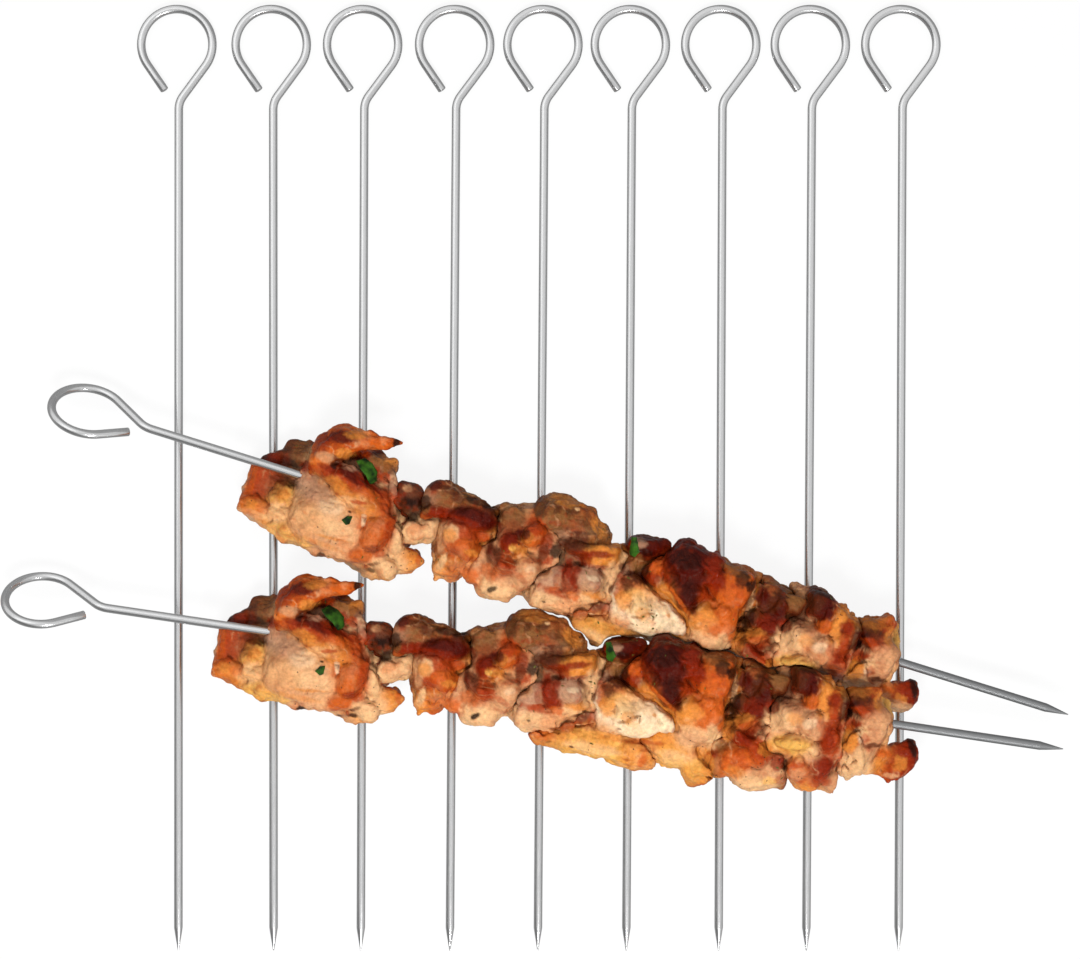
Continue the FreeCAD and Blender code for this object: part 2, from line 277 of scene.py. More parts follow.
wireLength = sum(math.dist(a[:2], b[:2]) for a, b in zip(loadedRows, loadedRows[1:]))
steel = steelMaterial("drawnStainlessWire")
greyPointSteel = steelMaterial("drawnStainlessWireGreyedPoint",
                          (wireLength - wire["greyedLength"]) * mm)
tubes = tubeTree()
for number in range(1, 10):
    name = "laid_skewer_%d" % number
    tip, aim = tipAndAim(name, np.array([0, -1.0, 0]))
    sideways = np.cross([0, 0, 1], aim)
    path = [(*(tip + (aim * (x - wire["laidLength"]) + sideways * y) * mm), r * mm)
            for x, y, r in laidRows]
    made = tube("laidSkewer%d" % number, path, tubes, steel)
    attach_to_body(made, name)
    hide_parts(name)
for side in sides:
    kebab = kebabs[side]
    turn = math.radians(wire["ringTurn"])
    leaning = kebab["across"] * math.cos(turn) - kebab["up"] * math.sin(turn)
    path = [(*(kebab["tip"] + (kebab["aim"] * (x - wire["loadedLength"]) + leaning * y) * mm),
             r * mm) for x, y, r in loadedRows]
    made = tube(side + "Skewer", path, tubes, greyPointSteel)
    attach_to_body(made, side + "_skewer")
    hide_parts(side + "_skewer")
print("skewers swept")


# Noise that is the same on every run

def scattered(i, j, k, seed):
    mixed = (i * 374761393 + j * 668265263 + k * 1440662683 + seed * 974711) & 0xFFFFFFFF
    mixed = ((mixed ^ (mixed >> 13)) * 1274126177) & 0xFFFFFFFF
    return ((mixed ^ (mixed >> 16)) & 0xFFFF) / 32767.5 - 1


# Smooth noise from -1 to 1 on a grid given by its three axes.
def gridNoise(xs, ys, zs, size, seed):
    spans, shares = [], []
    for values in (xs, ys, zs):
        cell = np.floor(values / size)
        t = values / size - cell
        spans.append(cell.astype(np.int64))
        shares.append((t * t * (3 - 2 * t)).astype(np.float32))
    ranges = [np.arange(s.min(), s.max() + 2) for s in spans]
    block = scattered(ranges[0][:, None, None], ranges[1][None, :, None],
                      ranges[2][None, None, :], seed).astype(np.float32)
    for axis in range(3):
        low = spans[axis] - spans[axis].min()
        shape = [1, 1, 1]
        shape[axis] = -1
        t = shares[axis].reshape(shape)
        block = np.take(block, low, axis) * (1 - t) + np.take(block, low + 1, axis) * t
    return block


# The same noise at loose points; size may differ along the three axes.
def noise(points, size, seed):
    scaled = points / np.asarray(size, float)
    cell = np.floor(scaled).astype(np.int64)
    t = scaled - cell
    t = t * t * (3 - 2 * t)
    total = 0
    for a in (0, 1):
        for b in (0, 1):
            for c in (0, 1):
                weight = (abs(1 - a - t[:, 0]) * abs(1 - b - t[:, 1]) * abs(1 - c - t[:, 2]))
                total = total + weight * scattered(cell[:, 0] + a, cell[:, 1] + b,
                                                   cell[:, 2] + c, seed)
    return total


def step(low, high, value):
    t = np.clip((value - low) / (high - low), 0, 1)
    return t * t * (3 - 2 * t)


# Chicken: every piece is a pile of lumps that flow into each other, in the kebab's own frame:
# u from the neck corner towards the point, v up the picture, w up from the wire's centre.

# the darkest colour serves both for charred meat and for painted shadow
palette = {"cream": "#D2A474", "pink": "#BF895F", "white": "#DDC19C", "yellow": "#D39C4C",
           "golden": "#C57830", "orange": "#B65218", "rust": "#98330C", "redBrown": "#741A03",
           "darkRed": "#420702", "char": "#180603", "olive": "#7A4E28", "umber": "#481C0A",
           "greyPink": "#A87C60", "mauve": "#6A3823"}

meat = {"voxel": 0.45, "quickVoxel": 1.0, "blend": 1.4, "boreRadius": 1.68, "pieceGap": 0.1,
        "seamWander": 1.3, "overlap": 5.0, "lastOverlap": 2.5,
        "warps": ((11.0, 1.7, 3), (5.2, 1.1, 13), (2.6, 0.45, 23)),
        "folds": ((8.0, 0.95), (4.6, 0.7), (2.6, 0.42), (1.5, 0.22)), "endLean": 0.22,
        "endGap": 0.12, "endStart": 258.0, "endBlend": 2.0, "cutBlend": 0.6, "seamBlend": 0.7,
        "seamReach": 4.0, "seamRipples": ((9.0, 1.0, 41), (4.5, 0.7, 43)), "foldReach": 2.5,
        "room": 3.5, "endRoom": 3.0, "restHeight": 3.35, "restBlend": 1.2,
        "partingPoint": (278.4, -5.0, 19.0),
        "partingLean": 27.4, "partingGap": 0.4, "partingBlend": 0.6,
        "partingRipples": ((6.0, 0.8, 121), (2.4, 0.5, 123))}

# The valley between the stacks, seen from above: along the upper wire and down the picture
flat = kebabs["upper"]["aim"] * [1, 1, 0] / np.linalg.norm(kebabs["upper"]["aim"][:2])
valley = {"along": flat, "down": np.array([flat[1], -flat[0], 0.0]), "spacing": 0.5,
          "reach": 200.0, "open": 60.0, "margin": 0.25,
          "closes": 120.0, "closesOver": 8.0, "closedDepth": 30.0}
valley["places"] = np.arange(-valley["reach"], valley["reach"] + valley["spacing"],
                             valley["spacing"])

# How far towards the ring a seam is pushed, by height across the stack: (v, mm) rows
seamPush = {3: ((-16, 2.6), (-9, 1.8), (1, 0), (9, -0.5)),
            7: ((-28, -0.5), (-22, 2), (-17, 3), (-12, 0)),
            8: ((-27, -2), (-18, 0), (-12, 2.5), (-7, 3), (0, 2), (6, 1), (15, 0.5))}

# Base masses: rows of (u, up, down, over, under) reaches, with a colour for each piece
bases = {
    1: ("cream", [(43, -3, -16, -5, -15), (47, 4, -20, -4, -17.5), (58, 11, -22.5, -3.2, -17.5),
                  (61, 11, -23.5, 5, -17.5), (68, 11, -24.5, 10, -17.5), (78, 9, -25, 10.5, -17.5),
                  (88, 9, -26, 8, -17.5), (95, 6, -24, 7, -17), (97, 4, -18, 5, -14)]),
    2: ("umber", [(97, 7, -13, 5, -13), (100, 7, -9.5, 5, -15), (106, 7, -8, 6, -15),
                  (111, 8, -7, 7, -12)]),
    3: ("golden", [(110, 10, -5, 6, -12), (114.5, 10.5, -18, 8, -16), (120, 10, -20, 10, -17.5),
                   (128, 10, -19.5, 9.5, -17), (130.5, 10, -18, 8, -13)]),
    4: ("pink", [(129.5, 10, -18, 8, -13), (135, 11, -18.5, 9.5, -17), (141, 15, -18, 10, -17.5),
                 (148, 17, -16.5, 9, -14)]),
    5: ("cream", [(150, 18, -17, 8, -13), (153, 18, -20, 8.5, -16), (160, 15, -21, 10, -17.5),
                  (168, 10, -21, 9.5, -17), (172.5, 9, -19, 7, -13)]),
    6: ("golden", [(175, 11, -24, 4, -13), (179, 14, -26, 5, -16), (185, 15.5, -27, 6, -17),
                   (189, 14, -27, 6, -14)]),
    7: ("golden", [(191, 14, -27, 7, -14), (196, 17, -27, 9, -17), (205, 16, -25.5, 10, -17.5),
                   (214, 15, -29, 9.5, -17), (218.5, 14.5, -29, 7, -13)]),
    8: ("olive", [(221.5, 14, -28.5, 7, -13), (226, 13.5, -29, 8, -17), (232, 13.5, -29, 8, -17),
                  (238, 15, -28.5, 7, -13)]),
    9: ("pink", [(239, 16, -27.5, 8, -13), (245, 16.2, -27, 9.5, -16.5),
        (252, 13, -26.5, 9.5, -16.5),
                 (259.5, 12.5, -26, 8, -12)]),
    10: ("pink", [(256.5, 13, -26, 7, -9), (262, 11, -22, 8.5, -9.5), (267, 12, -17.5, 8.5, -9),
                  (271, 10, -14, 6, -8), (274, 3, -8, 4, -6)]),
}

# A lump is (colour, u, v, w, half sizes u, v, w, turn, fullness), a strand is
# (colour, [(u, v, w, radius), ...])
# the darker lumps along the tops of the pieces (v above about 5) are partly browned meat and
# partly painted shade of the sides turned from the lamp
lumps = {
    1: [("umber", 55, 3.6, -9, 12.5, 6.6, 6, 33, 2.6), ("rust", 50.5, -7, -8, 9, 8, 5.5, 0, 4.5),
        ("orange", 46.5, -16, -6, 5.8, 4.6, 5.5, -10, 2.5),
        ("yellow", 56, -10, -2.5, 6, 6, 5, -20, 2.6), ("pink", 73, -11, -2.5, 15, 13, 15, 0, 2.4),
        ("greyPink", 63, -0.5, -1, 5.5, 6, 6.5, 20), ("orange", 68.3, 13.2, 6, 9, 5.8, 7, 48, 2.6),
        ("orange", [(70, 15.8, 9, 5.6), (77, 18.2, 9, 3.8), (84, 19.6, 8.6, 2.3),
        (88.5, 20.8, 8.2, 0.8)]),
        ("golden", 64.5, 7.2, 7.5, 5, 4.6, 6, 60), ("umber", 81.5, 10.5, -2.5, 8, 6, 8),
        ("golden", 86.2, 12.6, 0, 3.6, 3.6, 5, 20), ("redBrown", 76, 3.5, 7, 14, 4, 7.5, -14, 2.4),
        ("golden", 81, -1.5, 8, 10, 4.6, 6, -8, 2.4), ("rust", 88, -1, 7, 5, 4.4, 6, -30),
        ("greyPink", [(85, 11.5, 2, 2), (90, 7.6, 4.5, 2.4), (94.5, 2.5, 4.5, 2.6),
        (98, -1, 3, 2)]),
        ("orange", 90.5, -10.5, 7.6, 5.8, 8, 7.6, 6, 2.1),
        ("rust", 94, -8.5, 6.4, 2.6, 5.6, 6.4, -4), ("cream", 98.2, -9.5, 2, 4, 8, 8.5, 8),
        ("golden", 103.5, -16.3, -1, 5.4, 4.6, 6.5, -10, 2.3),
        ("cream", 97, -20.5, 0, 6.5, 5, 7, 10), ("golden", 92, -24.3, -2, 5, 3.2, 5.5),
        ("orange", 86.5, -20.5, 1.5, 6, 3.6, 8, 20), ("yellow", 62, -20.3, -3, 9, 4.8, 8),
        ("golden", 51, -18.8, -6, 6, 3.4, 5.5, -15), ("cream", 56, -15.5, -2, 6, 3.6, 5, 5),
        ("pink", 77, -20, -2, 13, 5.6, 11, -3, 2.3)],
    # piece 2's mauve lump at u 97.5, v 6 is a painted highlight on the dark lumps
    2: [("umber", 96.5, 4.4, 0, 6.5, 4.4, 6.5, -15, 2.5), ("mauve", 97.5, 6, 3.4, 4, 2, 3, -25),
        ("umber", 102, 4.2, 1, 6, 3.6, 6.5), ("umber", 95.5, 0.6, 2.2, 4.6, 3.4, 4.2),
        ("char", 100.5, 1.6, 1, 5.5, 3.2, 6, -35, 2.4), ("olive", 104, 3.6, 0.5, 4, 3.6, 6.5),
        ("cream", 105, -4.8, 2, 7.5, 4.6, 7.5, 18, 2.6), ("cream", 101, -8, -1, 5, 4, 7)],
    3: [("olive", 114.5, 7, 1, 12, 4.6, 9, -2, 3),
        ("greyPink", 105.3, 6.3, 3, 2.8, 3.6, 5.5, -20, 3), ("umber", 107.5, 9, 2, 4.5, 3, 6, 25),
        ("darkRed", 121.5, 3.6, 4, 9, 4.4, 9.5, 0, 2.6),
        ("rust", 120, -4, 3.5, 7, 6.4, 11.5, 15, 2.6),
        ("orange", 124.5, -8, 3, 5.6, 5.4, 11, -20, 2.4),
        ("cream", 114.8, -3.4, 2, 4.4, 4.4, 9, 20), ("mauve", 114.6, -9.4, 0, 3, 4.4, 9),
        ("golden", 116.4, -14, -1, 3.4, 5, 9, -10, 2.6),
        ("golden", 125, -15, 0, 6.6, 5.2, 9, -12, 2.4),
        ("golden", [(116.6, -16.5, -1, 3.2), (115, -20.8, -2, 1.3)]),
        ("orange", [(120.5, -19.4, -1, 2.4), (124.5, -21.4, -1.5, 1.9), (128.2, -23.4, -2, 0.7)]),
        ("redBrown", 109.5, 1.8, 4, 6, 3.6, 7.5, 5)],
    4: [("olive", 134, 7, 0, 6, 4.6, 9.5, 0, 2.6), ("redBrown", 136.5, 0, 4, 5, 5, 9.5, 45, 2.6),
        ("orange", 142.4, 5.5, 5.5, 4.6, 6.6, 8.5, -12, 2.5),
        ("golden", 139.5, -1.5, 5, 4.8, 5, 8.5, 30), ("mauve", 131.8, -6.5, 3, 3, 5, 9, 20),
        ("rust", 136.5, -8.5, 4.5, 5.6, 4.4, 9.5, -25),
        ("pink", 144.6, -7, 5.5, 4.4, 6.6, 8, 12, 2.4), ("pink", 142, -12, 3, 5, 4, 8.5, -35),
        ("cream", 136.5, -15, -1, 7.6, 4.6, 10, 4, 2.6)],
    5: [("olive", 147, 13.4, 1.5, 8, 6, 10, 20, 2.6),
        ("olive", 155.5, 14, 1, 6.5, 5.6, 9.5, -10, 2.4),
        ("olive", 162, 11, -1, 5.5, 5.6, 9.5, -25), ("umber", 154, 9.6, 1, 8, 3, 9, 10),
        ("greyPink", [(149, 3.2, 7, 1.7), (153, 6, 8, 2.2), (158, 8, 7.5, 2.2),
        (163, 9.6, 5.5, 1.6)]),
        ("char", 153.5, 0.5, 2, 4, 4.6, 8, 30), ("umber", 157.5, 5, 5, 6, 3.6, 8.5, 15),
        ("golden", 166, 5, 5, 7, 4.4, 9.5, 12, 2.8),
        ("greyPink", 165.5, -3.5, 5.5, 7, 5, 10, -8, 2.6),
        ("redBrown", 158.5, -5.5, 5.5, 4, 6, 9, 10, 2.4),
        ("golden", 168, -9, 3.5, 5.4, 4.6, 9, 20), ("greyPink", 153, -8, 5, 4, 6.6, 7.5, -25, 2.4),
        ("cream", 157, -14.6, 1, 11, 5.6, 9.5, -6, 2.6), ("cream", 150.5, -14, -2, 5, 5, 8)],
    6: [("white", 186, -9.2, 5.5, 12.5, 7.6, 9, -4, 2.8),
        ("golden", 184, -3.5, 5.5, 8.5, 5.4, 8, -8, 2.4),
        ("white", [(193, -9.8, 8, 6.4), (199, -11.2, 9, 4.2), (203.3, -12.4, 9, 1.8)]),
        ("darkRed", 181, 11, 0, 8, 5, 9, 8, 2.4), ("olive", 179.5, 5, -1, 4.5, 5, 8),
        ("char", 184, 4.5, -1, 4, 5, 8), ("greyPink", 177, -2, 3, 2.8, 6, 8, 5),
        ("yellow", 176, -20.6, -3, 21, 6.4, 9.5, -4, 2.8),
        ("orange", 158.5, -20, -3, 6, 4, 7, -15),
        ("golden", 190, -22.5, -2, 7.5, 5.6, 9.5, -5, 2.4),
        ("mauve", [(159, -17.8, 4, 1.6), (165, -15.8, 6.5, 2.8), (170, -13.4, 7, 3),
        (173.5, -11.8, 6, 2)])],
    7: [("darkRed", 196.5, 10, 5.5, 8.5, 8, 10.5, -25, 3),
        ("darkRed", 199, 2.5, 6, 7, 6, 10, -40, 2.8), ("redBrown", 205, 11, 5, 5, 7, 10.5, 0, 2.6),
        ("orange", 212.5, 6.5, 5, 7, 8.5, 11, 5, 3), ("orange", 213, -4, 5, 6.6, 7.5, 11, 0, 2.8),
        ("golden", 206, -5, 4.5, 6, 6, 10.5, -25, 2.4),
        ("cream", 210.5, -12.4, 3, 8.5, 4.8, 9.5, -4, 2.6),
        ("rust", 187.3, 5.6, 6, 4.2, 4.6, 6.5, -20), ("golden", 192.5, 0.5, 5, 6.5, 2.6, 7.5, -38),
        ("yellow", 202.5, -20, -2, 7.5, 6.2, 9, 5, 2.4),
        ("golden", 213, -23.8, -1, 6.6, 5.6, 9.5, 0, 2.4), ("rust", 213.5, -28, -3, 5.6, 3.6, 6.5),
        ("olive", 212, 13.5, 2, 8, 2.6, 9, -8)],
    8: [("olive", 226.5, 9, 0, 5.5, 5.6, 9.5, 0, 2.4),
        ("umber", 229.6, 5.5, 2, 3, 8, 9.5, -6, 2.4),
        ("olive", 235, 8.5, 0.5, 5, 5.6, 9.5, 0, 2.4), ("golden", 221.2, 7.4, 4.4, 1.3, 4.4, 5),
        ("umber", 223.5, -1, 2.5, 3, 5, 8.5), ("redBrown", 229.5, -1.5, 3.5, 6, 4.6, 9, 20),
        ("golden", 225, -6.6, 4.5, 5, 3, 7.5, 20),
        ("redBrown", 225.5, -11, 5.5, 6, 3.4, 7.5, -20, 2.4),
        ("rust", 231.5, -15, 5, 6, 4, 7.5, -48, 2.4),
        ("orange", 226, -19.5, 0, 8, 6, 10.5, 30, 2.4),
        ("cream", 231.5, -23.5, -1, 9, 6, 9.5, 0, 2.6),
        ("pink", 237.4, -20.5, 0, 4, 7, 9.5, 20, 2.6),
        ("cream", 233.5, -8.6, 4.5, 4.6, 4.4, 8.5, 40)],
    9: [("umber", 243, 11, 2.5, 5, 5.6, 11, 0, 3),
        ("redBrown", 246.5, 7.5, 4, 3.4, 8, 11.3, -5, 2.6),
        ("golden", 251, 7.5, 3.5, 4, 6.5, 10.5, -8, 2.4),
        ("golden", 254.8, 4, 6, 3.8, 7.6, 9, -8, 2.4),
        ("pink", 240.5, -1.5, 4.5, 6.5, 6.6, 9.5, 30, 2.6),
        ("pink", 247.5, -3, 6.5, 6.5, 6.4, 9, -15, 2.4),
        ("yellow", 243.5, -11, 4.5, 7, 3.6, 8.5, 10, 2.5), ("rust", 254, -7, 5, 4, 6, 9, 10, 2.4),
        ("orange", 245.5, -20, 0, 5.6, 5.6, 10.3, 20, 2.5),
        ("redBrown", 253.5, -18, 1, 5, 6.6, 9.6, 10, 2.5), ("golden", 249, -24.5, -2, 6.5, 3.6, 8),
        ("cream", 250, -12.5, 4, 3.6, 3.4, 8)],
    10: [("umber", 262.5, 7, 1, 6, 6, 10, -15, 2.6), ("char", 260.3, 0.5, 0, 3, 6, 9.5, -10),
         ("rust", 267.5, 11, 2.5, 4.2, 3.6, 5.5, 35, 3), ("rust", 265, 3.5, 3, 5, 3.4, 8, -10),
         ("pink", 269.4, -1, 2.5, 5.4, 6, 7.5, -10, 2.5),
         ("redBrown", 262.4, -7, 2, 4, 6, 8, 15, 2.4),
         ("cream", 265.5, -11.5, 1, 3.6, 7.5, 7.5, 8, 2.4), ("rust", 259.5, -15.5, 1, 4, 6, 8),
         ("cream", 263, -18.5, -1, 4, 4, 6.5, 30),
         ("yellow", [(271.5, 10.5, 1, 2), (273.5, 4, 0.5, 2.2), (274.5, 0, 0, 2),
                    (273.5, -5, -1, 3)]),
         ("redBrown", 281, -12, -6, 6, 6.4, 6, 0, 2.3), ("rust", 279, -15, -6.5, 5, 4.6, 5),
         ("golden", 272.5, -13.2, -5, 6.5, 4.6, 5.5, 8), ("orange", 275, -10.2, -4, 4, 3, 4.6)],
}


def baseDistance(number, u, v, w):
    rows = bases[number][1]
    places = [row[0] for row in rows]
    up, down, over, under = [np.interp(u, places, [row[i] for row in rows]) for i in (1, 2, 3, 4)]
    rv, rw = (up - down) / 2, (over - under) / 2
    b, c = np.abs((v - (up + down) / 2) / rv), np.abs((w - (over + under) / 2) / rw)
    full = 2.6
    size = np.maximum((b ** full + c ** full) ** (1 / full), 1e-3)
    slope = np.sqrt((b ** (full - 1) / rv) ** 2 + (c ** (full - 1) / rw) ** 2) / size ** (full - 1)
    wall = (size - 1) / np.maximum(slope, 0.02)
    before, after = [meat["overlap"] if other in bases else meat["lastOverlap"]
                     for other in (number - 1, number + 1)]
    ends = np.maximum(places[0] - before - u, u - places[-1] - after)
    return smoothMax(wall, ends, meat["endBlend"])


def lumpDistance(u, v, w, row):
    if isinstance(row[1], list):
        best = None
        for (ua, va, wa, ra), (ub, vb, wb, rb) in zip(row[1], row[1][1:]):
            du, dv, dw = ub - ua, vb - va, wb - wa
            share = ((u - ua) * du + (v - va) * dv + (w - wa) * dw) / (du * du + dv * dv + dw * dw)
            share = np.clip(share, 0, 1)
            away = np.sqrt((u - ua - share * du) ** 2 + (v - va - share * dv) ** 2
                           + (w - wa - share * dw) ** 2) - ra - share * (rb - ra)
            best = away if best is None else np.minimum(best, away)
        return best
    colour, uc, vc, wc, ru, rv, rw, *rest = row
    turn = math.radians(rest[0]) if rest else 0
    full = rest[1] if len(rest) > 1 else 2
    a = np.abs(((u - uc) * math.cos(turn) + (v - vc) * math.sin(turn)) / ru)
    b = np.abs(((v - vc) * math.cos(turn) - (u - uc) * math.sin(turn)) / rv)
    c = np.abs((w - wc) / rw)
    size = np.maximum((a ** full + b ** full + c ** full) ** (1 / full), 1e-3)
    slope = np.sqrt((a ** (full - 1) / ru) ** 2 + (b ** (full - 1) / rv) ** 2
                    + (c ** (full - 1) / rw) ** 2) / size ** (full - 1)
    return (size - 1) / np.maximum(slope, 1 / max(ru, rv, rw) / 3)


def smoothMin(a, b, k):
    h = np.clip(0.5 + 0.5 * (b - a) / k, 0, 1)
    return b + (a - b) * h - k * h * (1 - h)


def smoothMax(a, b, k):
    return -smoothMin(-a, -b, k)


def bodyDistance(number, u, v, w):
    total = baseDistance(number, u, v, w)
    for row in lumps[number]:
        total = smoothMin(total, lumpDistance(u, v, w, row), meat["blend"])
    return total


def reachOf(number):
    low, high = np.full(3, 1e9), np.full(3, -1e9)
    for row in lumps[number]:
        if isinstance(row[1], list):
            for *centre, r in row[1]:
                low = np.minimum(low, np.array(centre) - r)
                high = np.maximum(high, np.array(centre) + r)
        else:
            r = np.array([max(row[4:6])] * 2 + [row[6]])
            low = np.minimum(low, np.array(row[1:4]) - r)
            high = np.maximum(high, np.array(row[1:4]) + r)
    for u, up, down, over, under in bases[number][1]:
        low = np.minimum(low, (u, down, under))
        high = np.maximum(high, (u, up, over))
    ends = [meat["endRoom"], 0, 0]
    return low - meat["room"] - ends, high + meat["room"] + ends


# Where the end piece starts along the wire.
def endPlane(v):
    return meat["endStart"] + 1.6 * step(6, 18, -v) - 0.8 * step(2, 9, v)


# A turned frame, so that the folds don't run with the wire
askew = np.array([[0.8, 0.36, -0.48], [-0.6, 0.48, -0.64], [0.0, 0.8, 0.6]])


# Round folds with sharp creases between them, as seared meat draws up
def folded(spots):
    total = 0
    for turn, (size, depth) in enumerate(meat["folds"]):
        total = total + depth * (0.38 - np.abs(noise(spots, size, 29 + turn)))
    return total


# The plane where the two stacks press on each other: a point on it and the way it faces, in
# millimetres. The lower end piece slides along its own wire, so its plane follows that wire.
def partingOf(side, number):
    upper = kebabs["upper"]
    pu, pv, pw = meat["partingPoint"]
    point = upper["start"] / mm + upper["aim"] * pu + upper["across"] * pv + upper["up"] * pw
    followed = kebabs["lower"] if (side, number) == ("lower", 10) else upper
    lean = math.radians(meat["partingLean"])
    away = np.array([0, 0, 1]) * math.sin(lean) - followed["across"] * math.cos(lean)
    away = away - followed["aim"] * (away @ followed["aim"])
    return point, away / np.linalg.norm(away)


# How far places of a kebab's frame lie along a direction of the scene
def reachAlong(side, direction, start, u, v, w):
    kebab = kebabs[side]
    return ((kebab["start"] / mm - start) @ direction + u * (kebab["aim"] @ direction)
            + v * (kebab["across"] @ direction) + w * (kebab["up"] @ direction))


# Cuts a field at the wires under it and at the parting. The upper stack fills the valley as
# far as the other one's outline from above, and goes under it only below the parting.
def seated(field, grid, spots, side, number, edge):
    u, v, w = spots
    start, away = partingOf(side, number)
    gap = meat["partingGap"]
    for size, depth, seed in meat["partingRipples"]:
        gap = gap + depth * (1 + gridNoise(*grid, size, seed))
    reach = reachAlong(side, away, start, u, v, w)
    if side == "lower":
        cut = gap - reach
    else:
        cut = reach + gap
        if number < 10:
            along = reachAlong(side, valley["along"], np.zeros(3), u, v, w)
            beyond = reachAlong(side, valley["down"], np.zeros(3), u, v, w)
            limit = np.interp(along.ravel(), valley["places"], edge).reshape(along.shape)
            cut = np.minimum(cut, beyond - limit)
    field = smoothMax(field, cut, meat["partingBlend"])
    height = reachAlong(side, np.array([0, 0, 1.0]), np.zeros(3), u, v, w)
    return smoothMax(field, meat["restHeight"] - height, meat["restBlend"])


# Points and quads of one piece in the kebab's frame.
def growPiece(number, side, edge):
    h = meat["voxel"] if fine else meat["quickVoxel"]
    low, high = reachOf(number)
    xs, ys, zs = [np.arange(a, b, h, dtype=np.float32) for a, b in zip(low, high)]
    u, v, w = np.meshgrid(xs, ys, zs, indexing="ij")
    warped = [u, v, w]
    for size, depth, seed in meat["warps"]:
        warped = [x + depth * gridNoise(xs, ys, zs, size, seed + i)
                  for i, x in enumerate(warped)]
    wu, wv, ww = warped
    field = bodyDistance(number, wu, wv, ww)
    near = np.abs(field) < meat["seamReach"]
    for other in (number - 1, number + 1):
        if other in lumps:
            theirs = bodyDistance(other, wu[near], wv[near], ww[near])
            ripple = sum(share * gridNoise(xs, ys, zs, size, seed)
                         for size, share, seed in meat["seamRipples"])
            wander = meat["seamWander"] * ripple[near]
            push = seamPush.get(min(number, other))
            if push:
                wander = wander + np.interp(v[near], *zip(*push))
            field[near] = smoothMax(field[near], (field[near] - theirs) / 2
                                    + wander * (other - number) + meat["pieceGap"] / 2,
                                    meat["seamBlend"])
    near = np.abs(field) < meat["foldReach"]
    field[near] += folded(np.column_stack([wu[near], wv[near], ww[near]]) @ askew)
    field = seated(field, (xs, ys, zs), (u, v, w), side, number, edge)
    plane = endPlane(v) + meat["endLean"] * w
    if number == 9:
        field = smoothMax(field, u - plane + meat["endGap"], meat["cutBlend"])
    if number == 10:
        field = smoothMax(field, plane + meat["endGap"] - u, meat["cutBlend"])
    field = np.maximum(field, meat["boreRadius"] - np.sqrt(v * v + w * w))
    grid = openvdb.FloatGrid()
    grid.copyFromArray(field.astype(np.float32))
    points, quads = grid.convertToQuads(0.0)
    points = points.astype(float) * h + [xs[0], ys[0], zs[0]]
    return points, outwards(points, quads.astype(np.int64))


# The quads, turned over if they face inwards
def outwards(points, quads):
    corners = points[quads]
    volume = np.einsum("ij,ij->", corners[:, 0], np.cross(corners[:, 1], corners[:, 2])
                       + np.cross(corners[:, 2], corners[:, 3]))
    return quads if volume > 0 else quads[:, ::-1]


def normalsOf(points, quads):
    corners = points[quads]
    faces = np.cross(corners[:, 2] - corners[:, 0], corners[:, 3] - corners[:, 1])
    out = np.zeros_like(points)
    for axis in range(3):
        for corner in range(4):
            out[:, axis] += np.bincount(quads[:, corner], faces[:, axis], len(points))
    return out / np.maximum(np.linalg.norm(out, axis=1), 1e-9)[:, None]


# Positive in creases and negative on ridges, in millimetres per millimetre.
def hollowness(points, quads, normals, rounds):
    count = np.zeros(len(points))
    flow = points.copy()
    for corner in range(4):
        count += np.bincount(quads[:, corner], minlength=len(points)) * 2
    for _ in range(rounds):
        total = np.zeros_like(points)
        for corner in range(4):
            for other in (1, 3):
                a, b = quads[:, corner], quads[:, (corner + other) % 4]
                for axis in range(3):
                    total[:, axis] += np.bincount(a, flow[b, axis], len(points))
        flow = total / np.maximum(count, 1)[:, None]
    return np.einsum("ij,ij->i", flow - points, normals)
